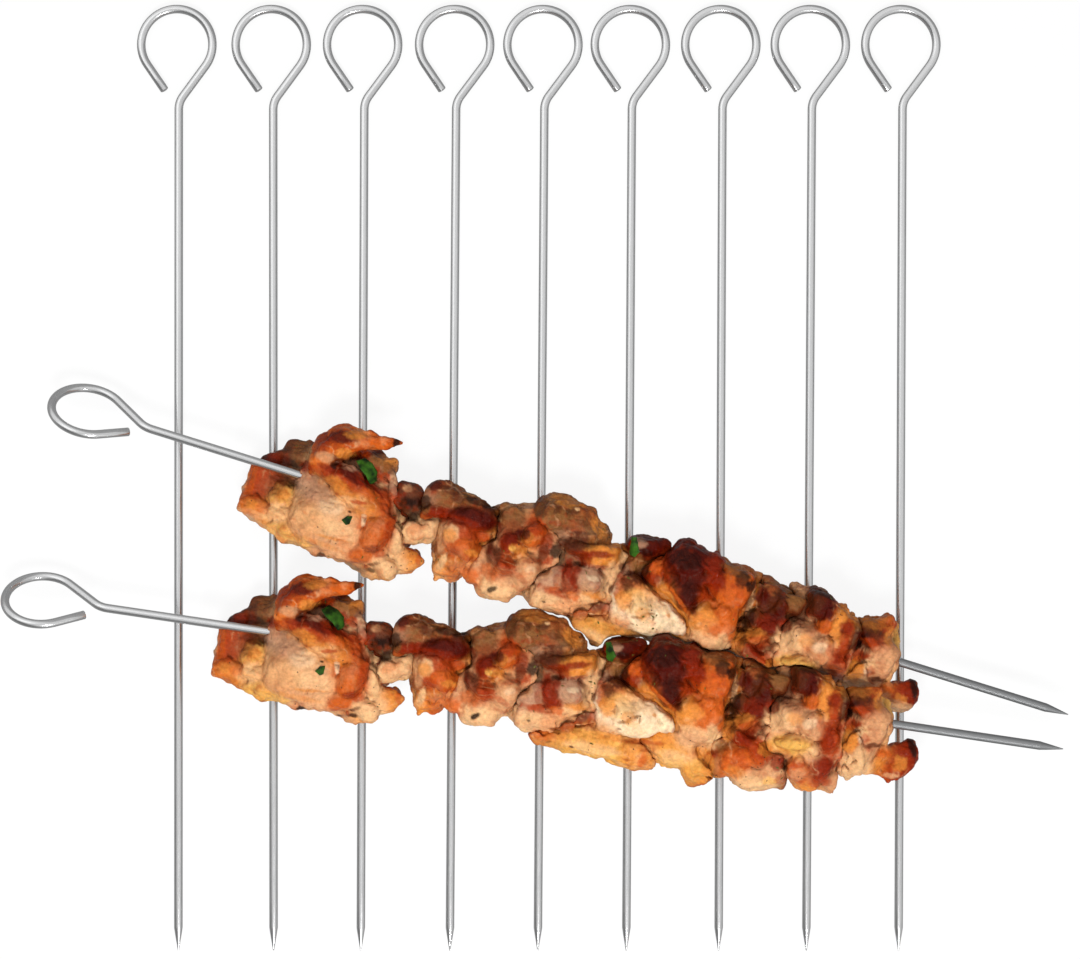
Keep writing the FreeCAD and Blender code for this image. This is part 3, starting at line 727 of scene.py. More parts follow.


# Marks on the chicken, laid on from above with ragged edges:
# (colour, u, v, half sizes along and across, turn, strength). Some are painted light, as noted
# below, and the dark ones along the tops are partly painted shade.
marks = [
    # folded thigh
    ("rust", 45.5, -9, 3.4, 5.5, 0, 0.8), ("umber", 52, -6, 3.4, 3, 0, 0.5),
    ("orange", 64, 7.5, 3.4, 3.6, 0, 0.7), ("redBrown", 64, 14, 3, 3, 40, 0.5),
    ("orange", 78, 15, 4, 2, 10, 0.7), ("redBrown", 70.5, 17.5, 5, 3, 15, 0.6),
    ("rust", 74, 2.5, 7, 2.4, -10, 0.6), ("redBrown", 84, 3, 6, 2.6, -20, 0.6),
    ("rust", 92, -2, 4, 2, -30, 0.6), ("rust", 93, -17, 2.6, 2.4, 20, 0.7),
    # the two long dark strokes beside the wire, from u 41 to 61, are painted shadow of the wire
    ("char", 55, -3.4, 6, 1.7, 0, 0.8), ("char", 51, 2.8, 10, 1.8, 5, 0.8),
    ("mauve", 48.5, -8, 4, 4, 0, 0.5), ("orange", 43, -7, 1.8, 6, 0, 0.7),
    ("olive", 57, 8, 4, 4.5, 20, 0.5), ("redBrown", 48, 2, 3, 3, 0, 0.5),
    ("golden", 46.5, -14.5, 2.4, 2, 0, 0.7), ("rust", 49, -19, 3, 1.6, -15, 0.5),
    ("golden", 55.5, -8, 2.5, 2, 0, 0.6), ("cream", 55, -14.5, 5, 3.5, 10, 0.8),
    ("greyPink", 66, -3, 7, 4.5, 0, 0.6), ("white", 73, -7, 5, 3, 20, 0.35),
    ("cream", 69, -13, 9, 4.5, 0, 0.6), ("cream", 79, -13.5, 7, 3, 5, 0.5),
    ("golden", 77, -17, 5.5, 0.6, 4, 0.6), ("golden", 74, -20, 8, 1, -4, 0.4),
    ("char", 74.5, -24, 1.7, 0.9, 20, 0.95), ("char", 92.5, -23.8, 1.6, 0.8, 0, 0.9),
    ("umber", 88.5, -25, 3.2, 0.6, 15, 0.9), ("char", 79.8, -6.5, 0.9, 0.5, 0, 0.95),
    ("rust", 51, -21.6, 1.6, 0.9, 0, 0.7), ("yellow", 65, -22, 5, 2, -5, 0.7),
    ("darkRed", 76, 6, 7, 1.8, -25, 0.85), ("redBrown", 84, 3.2, 6.5, 1.8, -25, 0.8),
    # the golden mark at u 72, v 1 is a painted highlight
    ("rust", 66, 4, 4, 1.5, -8, 0.7), ("golden", 72, 1, 5, 2.6, 0, 0.7),
    ("cream", 78, -3.6, 4.5, 2, 0, 0.5), ("rust", 82.5, -2.4, 3, 0.8, 10, 0.8),
    ("orange", 85, 1, 4, 2.2, -15, 0.7), ("darkRed", 69.5, 17, 5.5, 2.2, 12, 0.85),
    ("redBrown", 64, 12.5, 3.4, 4.5, -20, 0.6), ("golden", 74.5, 19.4, 4, 1.7, 10, 0.6),
    ("char", 88.2, 20.6, 1.4, 1.6, 0, 0.95), ("darkRed", 79, 13.8, 8, 1, 25, 0.8),
    ("umber", 70, 9.8, 3.4, 0.9, 0, 0.7), ("char", 70.2, 7, 1.4, 1.5, 0, 0.9),
    # the pink mark at u 66, v 9 is a painted highlight
    ("pink", 66, 9, 3, 1.8, 10, 0.7), ("redBrown", 68, 5.5, 4, 1, -10, 0.7),
    ("greyPink", 76.5, 9, 3.5, 2.2, 10, 0.8), ("char", 78, 11.6, 2.2, 1.2, 20, 0.8),
    ("olive", 83.5, 13, 3, 2.2, 0, 0.8), ("golden", 87.2, 12.5, 1.5, 3, 0, 0.7),
    ("redBrown", 85, 8.5, 1.4, 3, 25, 0.7), ("rust", 90.5, 3, 3.5, 1.5, -30, 0.7),
    ("golden", 88, -5.5, 3, 2.4, 20, 0.6), ("rust", 94.3, -9.5, 1.7, 5.5, -4, 0.85),
    ("redBrown", 90.8, -16.5, 3, 1.6, 30, 0.75), ("orange", 89.5, -11, 4, 4.5, 0, 0.5),
    ("orange", 88, -20, 4, 2.2, 20, 0.7), ("cream", 95, -20, 3.5, 1.5, 10, 0.7),
    # the rust line at u 103, v -12.4 is painted shade in a crease
    ("rust", 103, -12.4, 3, 0.9, -10, 0.8), ("rust", 107, -15.5, 1, 3, 5, 0.6),
    ("cream", 101, -18, 3, 2, 0, 0.5), ("golden", 97, -26, 3, 1.2, 0, 0.7),
    ("pink", 91, -26, 3.5, 1.5, -15, 0.7), ("umber", 93, -21.4, 2.4, 0.7, 25, 0.7),
    # neck piece
    # the pink mark at u 96.2, v 7 is a painted highlight
    ("pink", 96.2, 7, 2, 1.3, 20, 0.85), ("char", 98.5, 3.4, 3, 2, -20, 0.8),
    ("char", 101, -2, 2.2, 2.4, 0, 0.85), ("olive", 104.5, 2.6, 1.6, 2.2, 0, 0.7),
    ("pink", 103, -6, 3, 3, 0, 0.4),
    # dark-topped piece
    ("umber", 127, 8, 5, 2.4, 0, 0.7), ("rust", 124, -1.5, 5, 2.2, 0, 0.8),
    ("darkRed", 105.2, 10.8, 2.6, 1.8, 30, 0.9), ("char", 121, 9.6, 6, 1.3, -5, 0.8),
    ("umber", 110, 10.6, 4, 1.4, -5, 0.6), ("redBrown", 112, 2.8, 5.5, 2, 6, 0.85),
    ("darkRed", 122, 4.4, 8.5, 3, -2, 0.9), ("redBrown", 119, 1.6, 6, 1.8, 0, 0.7),
    # the orange mark at u 121.5, v -5.5 is a painted highlight
    ("orange", 121.5, -5.5, 5, 2.6, 10, 0.7), ("golden", 124, -7.6, 3, 1.2, 0, 0.7),
    ("cream", 115.3, -3, 2.8, 3, 0, 0.8), ("pink", 113.6, -8, 1.6, 3, 0, 0.7),
    ("rust", 117.5, -9, 2.5, 2.4, 0, 0.6), ("cream", 115, -14, 1.4, 3.6, -8, 0.9),
    ("pink", 124, -13.5, 5.5, 2.6, 0, 0.6), ("orange", 127.5, -17.5, 2, 2, 0, 0.6),
    ("golden", 115, -19, 2.4, 1.6, 20, 0.7), ("rust", 124, -21.3, 3.2, 1.3, -25, 0.8),
    # the dark red line at u 129.6 is painted shade in the crease between pieces 3 and 4
    ("darkRed", 129.6, -4.5, 0.9, 6, 10, 0.7), ("umber", 130.6, 1.5, 1.2, 3, 0, 0.7),
    # pink cube
    ("umber", 134, 7.5, 4, 2.6, 0, 0.5), ("redBrown", 135.5, -1, 4, 2.6, 30, 0.8),
    ("redBrown", 147.5, 3, 2.6, 3.6, 0, 0.8), ("rust", 142, 7.5, 4, 3, 0, 0.6),
    ("rust", 148, -2, 2, 3, 0, 0.7), ("mauve", 132.2, -6, 1.8, 4, 15, 0.7),
    ("darkRed", 136, 2.2, 4.5, 1.8, 45, 0.85), ("olive", 134.5, 6.5, 3.6, 3.2, 0, 0.7),
    # the golden marks at u 140.3, v 3 and u 138.5, v -1.6 are painted highlights
    ("rust", 142.5, 7.5, 3, 3.4, 0, 0.7), ("golden", 140.3, 3, 2.6, 2.2, 30, 0.7),
    ("golden", 138.5, -1.6, 3, 1.6, 0, 0.7), ("yellow", 136.8, -2, 1.3, 0.9, 20, 0.9),
    ("umber", 147.4, -1, 1.8, 4, 0, 0.7), ("rust", 144.5, -4, 3, 1, 20, 0.5),
    ("rust", 143, -11, 3, 1.2, -30, 0.5), ("orange", 132, -12, 4, 2.6, 0, 0.6),
    ("cream", 138, -16.5, 5, 2.4, 0, 0.8), ("char", 134.2, -17.6, 1.8, 0.8, 35, 0.95),
    ("white", 145, -7, 2, 1.2, 20, 0.3),
    # striped fold
    ("redBrown", 160, 3, 4, 2.2, 10, 0.8), ("rust", 157, -12, 5, 1.8, 0, 0.8),
    ("rust", 161, -9.5, 2.6, 2.4, 0, 0.6), ("umber", 142, 14.5, 3, 4, 20, 0.6),
    ("umber", 147.8, 15.6, 1.2, 2.2, -20, 0.7), ("char", 153, 16.2, 2.4, 1.2, 15, 0.6),
    ("cream", 154, 17.6, 0.9, 0.6, 0, 0.8), ("umber", 157, 13.6, 3, 1.2, -10, 0.5),
    ("golden", 163.5, 13.5, 4, 2.4, -40, 0.8), ("golden", 150, 19, 6, 1.8, 5, 0.5),
    ("char", 151.4, 1.6, 2, 3, 0, 0.9), ("char", 149.2, -5, 0.9, 2.4, -20, 0.85),
    ("cream", 150.6, -4.6, 0.6, 2.8, -25, 0.7), ("char", 158, 10, 5, 0.7, 14, 0.6),
    ("redBrown", 157, -4, 1.3, 4.6, 4, 0.75), ("redBrown", 160.2, -5, 1.4, 5.4, -6, 0.8),
    ("redBrown", 160, -9.5, 3, 2, 0, 0.7), ("rust", 154, -11.5, 3, 1.2, 0, 0.6),
    ("redBrown", 154.4, -8, 1, 2.6, 10, 0.5), ("umber", 157.5, 6.4, 6.5, 3, 15, 0.8),
    ("golden", 167, 7.6, 5, 1.4, 12, 0.7), ("redBrown", 165.5, 5, 5.5, 1.2, 12, 0.85),
    ("golden", 166, 2.4, 4.5, 1.1, 14, 0.7), ("char", 161, -0.2, 2.8, 0.9, 4, 0.85),
    ("redBrown", 167, 0.8, 4, 0.7, 12, 0.6), ("greyPink", 165.5, -4, 4.2, 2.6, 0, 0.6),
    ("white", 166, -3.4, 2, 1, 0, 0.5), ("cream", 171.5, -3, 2.2, 7, 0, 0.8),
    ("cream", 165, -11.5, 6, 1.6, 8, 0.8), ("cream", 157, -15.5, 7, 2.4, 0, 0.6),
    ("char", 152.6, -16.3, 0.8, 0.5, 0, 0.8), ("umber", 174.8, 3, 1.4, 1.4, 0, 0.8),
    ("umber", 173.4, -5, 0.9, 1.6, 0, 0.7), ("char", 170.8, -10.4, 0.9, 0.5, 0, 0.8),
    ("mauve", 168.5, -12.2, 1.4, 0.7, 20, 0.8),
    # white breast
    ("golden", 178, -4.5, 3.4, 4.4, 0, 0.6), ("rust", 179, -1, 5, 1.2, -10, 0.5),
    ("yellow", 182, -7, 6, 4.4, 0, 0.45), ("cream", 190, -5, 5, 2, -30, 0.5),
    ("golden", 198, -6.4, 5.5, 0.9, -38, 0.5), ("olive", 184, -11.9, 1.7, 0.6, 12, 0.7),
    ("olive", 186.4, -10.8, 1.2, 0.8, 45, 0.75), ("olive", 188.5, -9.2, 1.6, 0.5, 15, 0.8),
    ("olive", 189.9, -10.4, 0.5, 1, 0, 0.7), ("yellow", 188, -12, 2.2, 1.2, 0, 0.25),
    ("umber", 183.6, -14.4, 0.8, 0.4, 0, 0.6), ("golden", 194.6, -8, 0.7, 0.5, 0, 0.7),
    # the rust line at u 191, v -18.3 is painted shadow under the white breast's lower edge
    ("rust", 191, -18.3, 9, 1, 5, 0.6), ("orange", 158, -21, 4.5, 2, -10, 0.5),
    ("pink", 175, -15.6, 5, 1.4, 5, 0.7), ("golden", 182, -18, 5, 1.6, 0, 0.6),
    ("cream", 176, -23, 10, 2.2, -2, 0.6), ("orange", 193, -24.5, 1.5, 3.4, -12, 0.8),
    ("umber", 168.4, -23.5, 0.9, 0.5, -15, 0.9), ("umber", 160.5, -23, 1.2, 0.4, 20, 0.6),
    ("char", 162, -18, 2.2, 0.8, 12, 0.85), ("darkRed", 182, 13, 6.5, 2.2, 18, 0.8),
    ("greyPink", 177.8, 12.6, 2.6, 1.8, 10, 0.7), ("char", 181, 10.4, 2.2, 1.2, 0, 0.7),
    ("char", 183, 3.4, 1.6, 3, 10, 0.85), ("olive", 179.5, 5.5, 1.8, 3.4, 0, 0.6),
    # glazed block
    ("darkRed", 199, 8.5, 5.6, 6, -20, 0.85), ("darkRed", 200, -1.6, 5, 2.8, -40, 0.9),
    ("redBrown", 190.5, 3.5, 2.4, 1.6, -40, 0.8), ("redBrown", 207, 8, 3.6, 4, 20, 0.75),
    ("redBrown", 206, 4, 3, 4, 10, 0.6), ("darkRed", 204, 13.5, 5, 2.4, -10, 0.8),
    ("orange", 186, 6, 2, 3, 0, 0.7), ("pink", 188, 2.4, 1.4, 1.2, -30, 0.6),
    ("char", 195, 12, 5, 4, 0, 0.6), ("char", 199, 3, 3, 4, 20, 0.45),
    # the thin orange line at u 196, v -1.6 is a painted highlight along the block's lower edge
    ("redBrown", 203.5, 12.5, 3, 3.4, 0, 0.7), ("orange", 196, -1.6, 8, 0.8, -36, 0.8),
    ("redBrown", 207, 9, 2.6, 3.6, 0, 0.8), ("rust", 205, 3, 3, 3, 0, 0.6),
    # the orange mark at u 213, v -5.6 is a painted highlight
    ("orange", 213, -5.6, 4.4, 3.4, 20, 0.6), ("golden", 208, -5, 4, 2.4, 0, 0.7),
    ("cream", 209, -11, 5, 1.4, -5, 0.4), ("umber", 219.4, -3, 0.8, 3.4, 0, 0.85),
    ("char", 218.6, 10, 1.8, 2.2, -10, 0.9), ("cream", 220.6, 5, 1, 4.5, 0, 0.8),
    ("char", 221, -4.5, 0.9, 4.5, 10, 0.85), ("umber", 219, -9, 0.7, 2, 0, 0.8),
    ("olive", 212.5, 13.5, 5, 1.8, -8, 0.7), ("pink", 209, -14.6, 6.5, 2.6, -5, 0.8),
    ("cream", 204, -22, 6, 3, 0, 0.6), ("rust", 214.5, -30.8, 5, 1.3, 0, 0.8),
    ("rust", 208.8, -28.5, 1.3, 2.6, 15, 0.7), ("redBrown", 216, -19.6, 3.4, 1.6, 45, 0.7),
    ("yellow", 212, -23, 3, 2, 0, 0.5),
    # olive wedge
    ("darkRed", 229, 5.4, 6.5, 4.6, 0, 0.8), ("darkRed", 229.5, -1.6, 5.4, 2.8, 0, 0.85),
    ("darkRed", 238, 5.5, 3, 4.4, 0, 0.75), ("rust", 228, -7, 5, 2.2, 0, 0.7),
    ("golden", 220.5, -10, 2.4, 4, 0, 0.6), ("rust", 232, -13, 3, 2.4, -40, 0.8),
    ("char", 222, -1, 1.5, 4.4, 0, 0.8), ("umber", 229, 7, 2.4, 5, -8, 0.85),
    ("olive", 235, 10, 3, 3.6, 0, 0.6), ("char", 235, 3, 1.8, 2, -40, 0.7),
    ("redBrown", 229, -0.4, 5, 3, 0, 0.6), ("darkRed", 231, 3.6, 3.4, 1.6, 60, 0.7),
    ("golden", 225, -5, 3.4, 1.4, 20, 0.5), ("redBrown", 226, -11, 4, 2.6, 20, 0.8),
    ("umber", 222, -8.6, 1, 2, 0, 0.7), ("rust", 232.5, -17.6, 2.6, 1.4, 30, 0.7),
    ("cream", 236, -3.5, 4.4, 5, -30, 0.8), ("golden", 224.5, -24, 4, 2.6, 0, 0.5),
    ("cream", 233, -26.4, 7, 2.4, 0, 0.8), ("yellow", 237, -25, 3, 1.6, 0, 0.6),
    ("orange", 230, -20, 4.5, 2, 20, 0.4), ("yellow", 237, -11, 3, 1.5, 25, 0.7),
    # rolled fillet
    ("darkRed", 244.5, 10, 3.4, 5, 0, 0.8), ("redBrown", 256, -2, 3.2, 4, 0, 0.9),
    ("rust", 256, 4, 2, 3, 0, 0.7), ("rust", 256, -10, 3, 5.6, 0, 0.8),
    ("redBrown", 256, -17, 3.2, 3, 0, 0.85), ("rust", 240.5, -24, 2, 2, 0, 0.5),
    ("umber", 242, 12, 3.4, 4.4, 0, 0.8), ("darkRed", 246, 8, 2, 6.4, -3, 0.9),
    ("golden", 251, 5, 2.6, 5, -8, 0.6), ("char", 244, 15, 4, 1.4, 0, 0.6),
    # the thin cream line at u 257.9 is a painted highlight on the roll's edge
    ("umber", 255.5, 5.5, 2, 3.6, 0, 0.6), ("cream", 257.9, 3.4, 0.8, 3.6, 0, 0.9),
    ("cream", 241, -3, 2.6, 3.4, 0, 0.6), ("white", 247, -3, 2.4, 1.8, 20, 0.35),
    ("rust", 251.5, -3.4, 2, 2.4, 0, 0.5), ("yellow", 244, -11, 4.6, 1.4, 8, 0.8),
    ("char", 240.4, -17.5, 2, 1.2, -30, 0.85), ("char", 241.4, -19.6, 1.2, 1.3, 0, 0.8),
    ("pink", 246, -21, 3.6, 2.6, 0, 0.6), ("rust", 245.5, -18, 3, 1.2, 15, 0.7),
    ("redBrown", 254.5, -8.5, 2.2, 4, 0, 0.7), ("redBrown", 255, -17, 3, 3.4, 0, 0.7),
    ("rust", 254, -23, 4, 2, 10, 0.6), ("golden", 250, -26, 4, 1, 0, 0.5),
    # end piece
    ("darkRed", 261.5, 4, 3.6, 3.6, -15, 0.9), ("rust", 262, -2, 3.6, 2.6, 0, 0.85),
    ("golden", 262, -8, 3, 3.6, 0, 0.85), ("cream", 263.5, -17, 3.6, 2.4, 20, 0.8),
    ("umber", 258.5, 8, 2, 3, 0, 0.7), ("umber", 263, 8.6, 5, 3.4, -10, 0.7),
    ("char", 260.6, 2.4, 1.6, 4.6, -15, 0.85), ("rust", 264.5, 3.8, 4, 1.6, 0, 0.7),
    ("redBrown", 267.6, 11, 3.2, 2.6, 25, 0.85), ("olive", 272.2, 9, 1, 4, 12, 0.5),
    ("redBrown", 262.5, -4, 2.6, 4.4, -20, 0.7), ("white", 265.8, -5.4, 1.6, 2, 0, 0.6),
    ("pink", 268, 1, 3.6, 3, 0, 0.4), ("cream", 266, -12, 2, 4.4, 0, 0.6),
    ("rust", 260, -15, 2, 3, 0, 0.7), ("cream", 263, -19, 2.6, 1.6, 30, 0.7),
    ("umber", 270, -8, 3.2, 1, 10, 0.8), ("orange", 274.4, -10.4, 3, 1.4, 0, 0.7),
    ("char", 284.6, -7, 1.3, 4, 25, 0.9), ("rust", 281, -14, 3, 2, 0, 0.5),
    ("pink", 279, -17.8, 3, 1, 0, 0.7),
    # broad washes under them
    ("rust", 49, -8, 8, 6, 0, 0.3), ("golden", 48, -17, 7, 5, 0, 0.4),
    ("golden", 64, -14, 9, 8, 0, 0.22), ("orange", 123, -17, 7, 5, 0, 0.6),
    ("redBrown", 136, 3, 6, 4.5, 0, 0.45), ("orange", 163, -17, 7, 5, 0, 0.4),
    ("golden", 177, -17, 7, 5, 0, 0.45), ("yellow", 208, -27, 8, 5, 0, 0.5),
    ("cream", 266, -18, 6, 5, 0, 0.4), ("golden", 262, 14, 8, 6, 0, 0.4),
    ("rust", 91, -6, 4, 4, 0, 0.35), ("redBrown", 50, 2, 5, 4, 0, 0.3),
    # last touches, ring side first
    ("redBrown", 60.7, 3.6, 3, 2.4, 0, 0.8), ("mauve", 68.4, 0.1, 5, 3.4, -15, 0.35),
    ("golden", 72.3, 12.1, 3, 1.8, 10, 0.8), ("umber", 87.8, 11.3, 2.6, 2.4, 0, 0.7),
    ("rust", 87.8, 7.9, 2, 2, 0, 0.7), ("white", 85.3, -8, 1, 2.6, 8, 0.7),
    ("char", 103.3, 4, 2.6, 2.6, 0, 0.85), ("golden", 114.9, -3.8, 2.6, 2.4, 0, 0.7),
    ("orange", 126.6, -15.4, 3, 1.8, 0, 0.6), ("darkRed", 138.7, 4, 2.6, 2, 20, 0.85),
    ("rust", 149.8, -3.8, 1.8, 3, -20, 0.7), ("orange", 161.5, -11.5, 2.4, 1.5, 0, 0.75),
    ("darkRed", 180.8, 1.1, 4.6, 1.8, -12, 0.9), ("rust", 176, -3.8, 2, 4, 0, 0.6),
    ("golden", 178.4, -7.6, 3, 3.6, 0, 0.65), ("char", 215.2, 11.3, 2.4, 2.8, 0, 0.8),
    ("golden", 215.7, -23.1, 2.2, 3.6, 0, 0.7), ("cream", 215.7, -15.4, 1.8, 2.4, 0, 0.7),
    ("umber", 219.6, 4, 1.5, 3, 0, 0.7), ("darkRed", 223.5, 7.9, 2.6, 3, 0, 0.9),
    ("redBrown", 234.6, 0.1, 2.4, 2.4, 0, 0.8), ("redBrown", 238.5, -18.8, 2.4, 2.8, 0, 0.8),
    ("orange", 246.7, 4, 2.8, 2.8, 0, 0.75), ("rust", 254.5, 4, 1.8, 6, 0, 0.8),
    ("darkRed", 258.4, 2.1, 2.4, 3.6, 0, 0.85), ("orange", 262, -3.8, 1.8, 1.8, 0, 0.8),
    ("cream", 266.1, -3.8, 2.6, 2.2, 0, 0.8), ("cream", 262.7, -14.4, 2.4, 2.4, 0, 0.8),
    ("golden", 270, 7.9, 1.8, 3.6, 0, 0.7), ("golden", 281.1, -13.4, 2.4, 2.8, 20, 0.7),
    ("orange", 50, -14, 2.6, 2.6, 0, 0.6), ("rust", 78, 14, 2.6, 2, 0, 0.7),
    ("mauve", 98, 6, 2.4, 2.4, 0, 0.6), ("orange", 103, -5.5, 3.4, 1.6, 30, 0.35),
    ("umber", 114, 9, 3, 2, 0, 0.8), ("pink", 150, -6, 2.4, 2.4, 0, 0.7),
    ("redBrown", 162, 2, 2.4, 2.4, 0, 0.8), ("rust", 174, -12, 1.8, 3.4, 0, 0.6),
    ("umber", 178, -2, 2.6, 2.4, 0, 0.85), ("redBrown", 186, 2, 2.6, 2.6, 0, 0.8),
    ("golden", 186, -10, 2.6, 2.4, 0, 0.5), ("cream", 215.5, -12, 2.4, 4, 20, 0.75),
    ("golden", 234, -14, 2.6, 2.4, 0, 0.8), ("golden", 242, -2, 2.6, 2.4, 0, 0.5),
    ("redBrown", 254, 6, 2.4, 2.4, 0, 0.8), ("golden", 262, -6, 2.4, 2.4, 0, 0.8),
    ("rust", 267, -5.5, 1.8, 2.2, 0, 0.6),
]

grain = {"fibreLong": 8.0, "fibreWide": 1.5, "fibreDeep": 0.2, "blister": 1.15,
         "blisterDeep": 0.2, "turns": [-10, 70, 15, -20, 12, -8, 65, 35, 75, 60]}


# Fibres and blisters, raised out of the surface along its normals.
def roughened(points, normals, number):
    turn = math.radians(grain["turns"][number - 1])
    u, v, w = points.T
    along = u * math.cos(turn) + v * math.sin(turn) + 1.5 * noise(points, 9.0, 101)
    across = v * math.cos(turn) - u * math.sin(turn) + 1.5 * noise(points, 9.0, 103)
    fibres = noise(np.column_stack([along, across, w]),
                   (grain["fibreLong"], grain["fibreWide"], grain["fibreWide"]), 107)
    patchy = step(-0.3, 0.4, noise(points, 7.0, 109))
    blisters = noise(points, grain["blister"], 113)
    rise = (grain["fibreDeep"] * (0.5 - np.abs(fibres)) * 2 * (1 - 0.6 * patchy)
            + grain["blisterDeep"] * blisters * (0.4 + 0.6 * patchy))
    away = np.hypot(points[:, 1], points[:, 2]) - meat["boreRadius"]
    return points + normals * (rise * step(0.3, 1.5, away))[:, None]


# Colour and shine of every point of a piece. The colour also holds painted shade in the creases,
# and some painted highlights and shadows among the marks.
def toneOf(points, normals, number, hollow):
    u, v, w = points.T
    shades = {name: np.array(linear(code)) for name, code in palette.items()}
    brightness = np.array([0.3, 0.6, 0.1])
    distances = np.array([lumpDistance(u, v, w, row) for row in lumps[number]]
                         + [baseDistance(number, u, v, w) + 0.3])
    nearest = distances.min(0)
    weights = np.exp(-(distances - nearest) / 0.9)
    colour = weights.T @ np.array([shades[row[0]] for row in lumps[number]]
                                  + [shades[bases[number][0]]])
    colour /= weights.sum(0)[:, None]

    def lay(name, mask):
        nonlocal colour
        colour = colour * (1 - mask[:, None]) + shades[name] * mask[:, None]

    # every piece drifts between paler and browner, and browns on its ridges
    drift = noise(points, 7.5, 61) + 0.5 * noise(points, 3.0, 63)
    flecked = noise(points, 2.1, 65) + 0.6 * noise(points, 1.0, 69)
    bright = colour @ brightness
    pale = step(0.06, 0.25, bright)
    whitish = step(0.36, 0.5, bright)
    lay("cream", pale * (0.35 * step(0.15, 0.9, drift) + 0.22 * step(0.3, 0.9, flecked)))
    lay("rust", (1 - pale) * 0.3 * step(0.2, 0.9, flecked))
    lay("rust", (1 - 0.7 * whitish) * (0.35 * step(0.15, 0.9, -drift)
                                       + 0.25 * step(0.3, 0.9, -flecked)))
    # pale pink streaks over the mid tones, partly the crisp skin's pattern and partly a painted
    # sheen of its glaze, with thinner red-brown ones
    middle = step(0.03, 0.09, bright) * (1 - pale) + pale * step(0.4, 0.2, bright)
    crisp = step(-0.2, 0.5, noise(points, 6.0, 135)) * middle
    lay("pink", 0.75 * crisp * step(0.86, 0.98, 1 - np.abs(noise(points, 2.8, 131))))
    lay("redBrown", 0.5 * crisp * step(0.88, 0.98, 1 - np.abs(noise(points, 2.2, 133))))
    toasted = 0.35 + 0.65 * step(-0.3, 0.4, noise(points, 12.0, 75))
    lay("redBrown", 0.7 * toasted * step(0.04, 0.3, -hollow - 0.1 * flecked))
    ragged = (0.5 * noise(points, 3.2, 71) + 0.45 * noise(points, 1.3, 73)
              + 0.4 * noise(points, 0.6, 77))
    for name, uc, vc, ru, rv, turn, strength in marks:
        close = np.flatnonzero(np.abs(u - uc) < 2 * max(ru, rv) + 2)
        if not len(close):
            continue
        a = math.radians(turn)
        du, dv = u[close] - uc, v[close] - vc
        x = (du * math.cos(a) + dv * math.sin(a)) / ru
        y = (dv * math.cos(a) - du * math.sin(a)) / rv
        edge = np.sqrt(x * x + y * y) + 0.4 * ragged[close] * min(1, 1.5 / min(ru, rv) + 0.4)
        mask = np.zeros(len(u))
        mask[close] = strength * step(1.25, 0.65, edge) * step(-0.6, 0.0, normals[close, 2])
        lay(name, mask)
    # painted shade: the creases are darkened towards umber
    lay("umber", 0.75 * step(0.04, 0.3, hollow))
    bright = colour @ brightness
    wet = np.clip(0.35 + 0.4 * step(0.4, 0.1, bright) + 0.3 * noise(points, 5.0, 91), 0, 1)
    return colour, wet, step(0.3, 0.06, bright)


# The underside took the coals, golden with dark bars. Where a stack leans on the other one it is
# painted
# pale, more so lower down: partly meat that stayed pale, partly painted light lifting the other
# stack's shadow there.
def fromBelow(colour, points, facing, pressedPaleAndPaintedLight):
    u, v, w = points.T
    under = step(0.05, -0.5, facing[:, 2])
    bars = step(0.55, 0.9, np.cos(2 * math.pi * (u + 0.25 * v + 2 * noise(points, 9, 81)) / 13))
    pressedPaleAndPaintedLight = pressedPaleAndPaintedLight * (1 - under)
    ruddy = step(0.1, 0.6, noise(points, 5.0, 83) + 0.5 * noise(points, 1.6, 85))
    for name, mask in (("golden", 0.6 * under), ("char", 0.7 * under * bars),
                       ("cream", pressedPaleAndPaintedLight * (0.1 + 0.5 * step(5, -4, w))),
                       ("white", 0.3 * pressedPaleAndPaintedLight * step(0, -8, w)),
                       ("orange", 0.35 * pressedPaleAndPaintedLight * ruddy)):
        colour = colour * (1 - mask[:, None]) + np.array(linear(palette[name])) * mask[:, None]
    return colour


def meshObject(name, points, quads):
    mesh = bpy.data.meshes.new(name)
    mesh.vertices.add(len(points))
    mesh.vertices.foreach_set("co", points.astype(np.float32).ravel())
    mesh.loops.add(quads.size)
    mesh.loops.foreach_set("vertex_index", quads.astype(np.int32).ravel())
    mesh.polygons.add(len(quads))
    mesh.polygons.foreach_set("loop_start", np.arange(0, quads.size, 4, dtype=np.int32))
    mesh.update(calc_edges=True)
    mesh.polygons.foreach_set("use_smooth", np.ones(len(quads), bool))
    mesh.validate()
    made = bpy.data.objects.new(name, mesh)
    bpy.context.scene.collection.objects.link(made)
    return made


# From the kebab's frame to the scene.
def laidOut(points, side):
    kebab = kebabs[side]
    return kebab["start"] + points @ np.array([kebab["aim"], kebab["across"], kebab["up"]]) * mm


# Outline of the lower stack from above, towards the upper one, at each place along it. It is
# let go before the end piece, which must be free to slide.
def outlineAbove(stacks):
    edge = np.full(len(valley["places"]), valley["open"])
    for laid in stacks:
        along = laid @ valley["along"] / mm - valley["places"][0]
        bins = np.round(along / valley["spacing"]).astype(int)
        inside = (bins >= 0) & (bins < len(edge))
        np.minimum.at(edge, bins[inside], (laid @ valley["down"] / mm)[inside])
    for join in (np.min, np.mean):
        wide = np.pad(edge, 1, mode="edge")
        edge = join([wide[:-2], wide[1:-1], wide[2:]], 0)
    closed = step(valley["closes"] - valley["closesOver"], valley["closes"], valley["places"])
    return edge - valley["margin"] - valley["closedDepth"] * closed


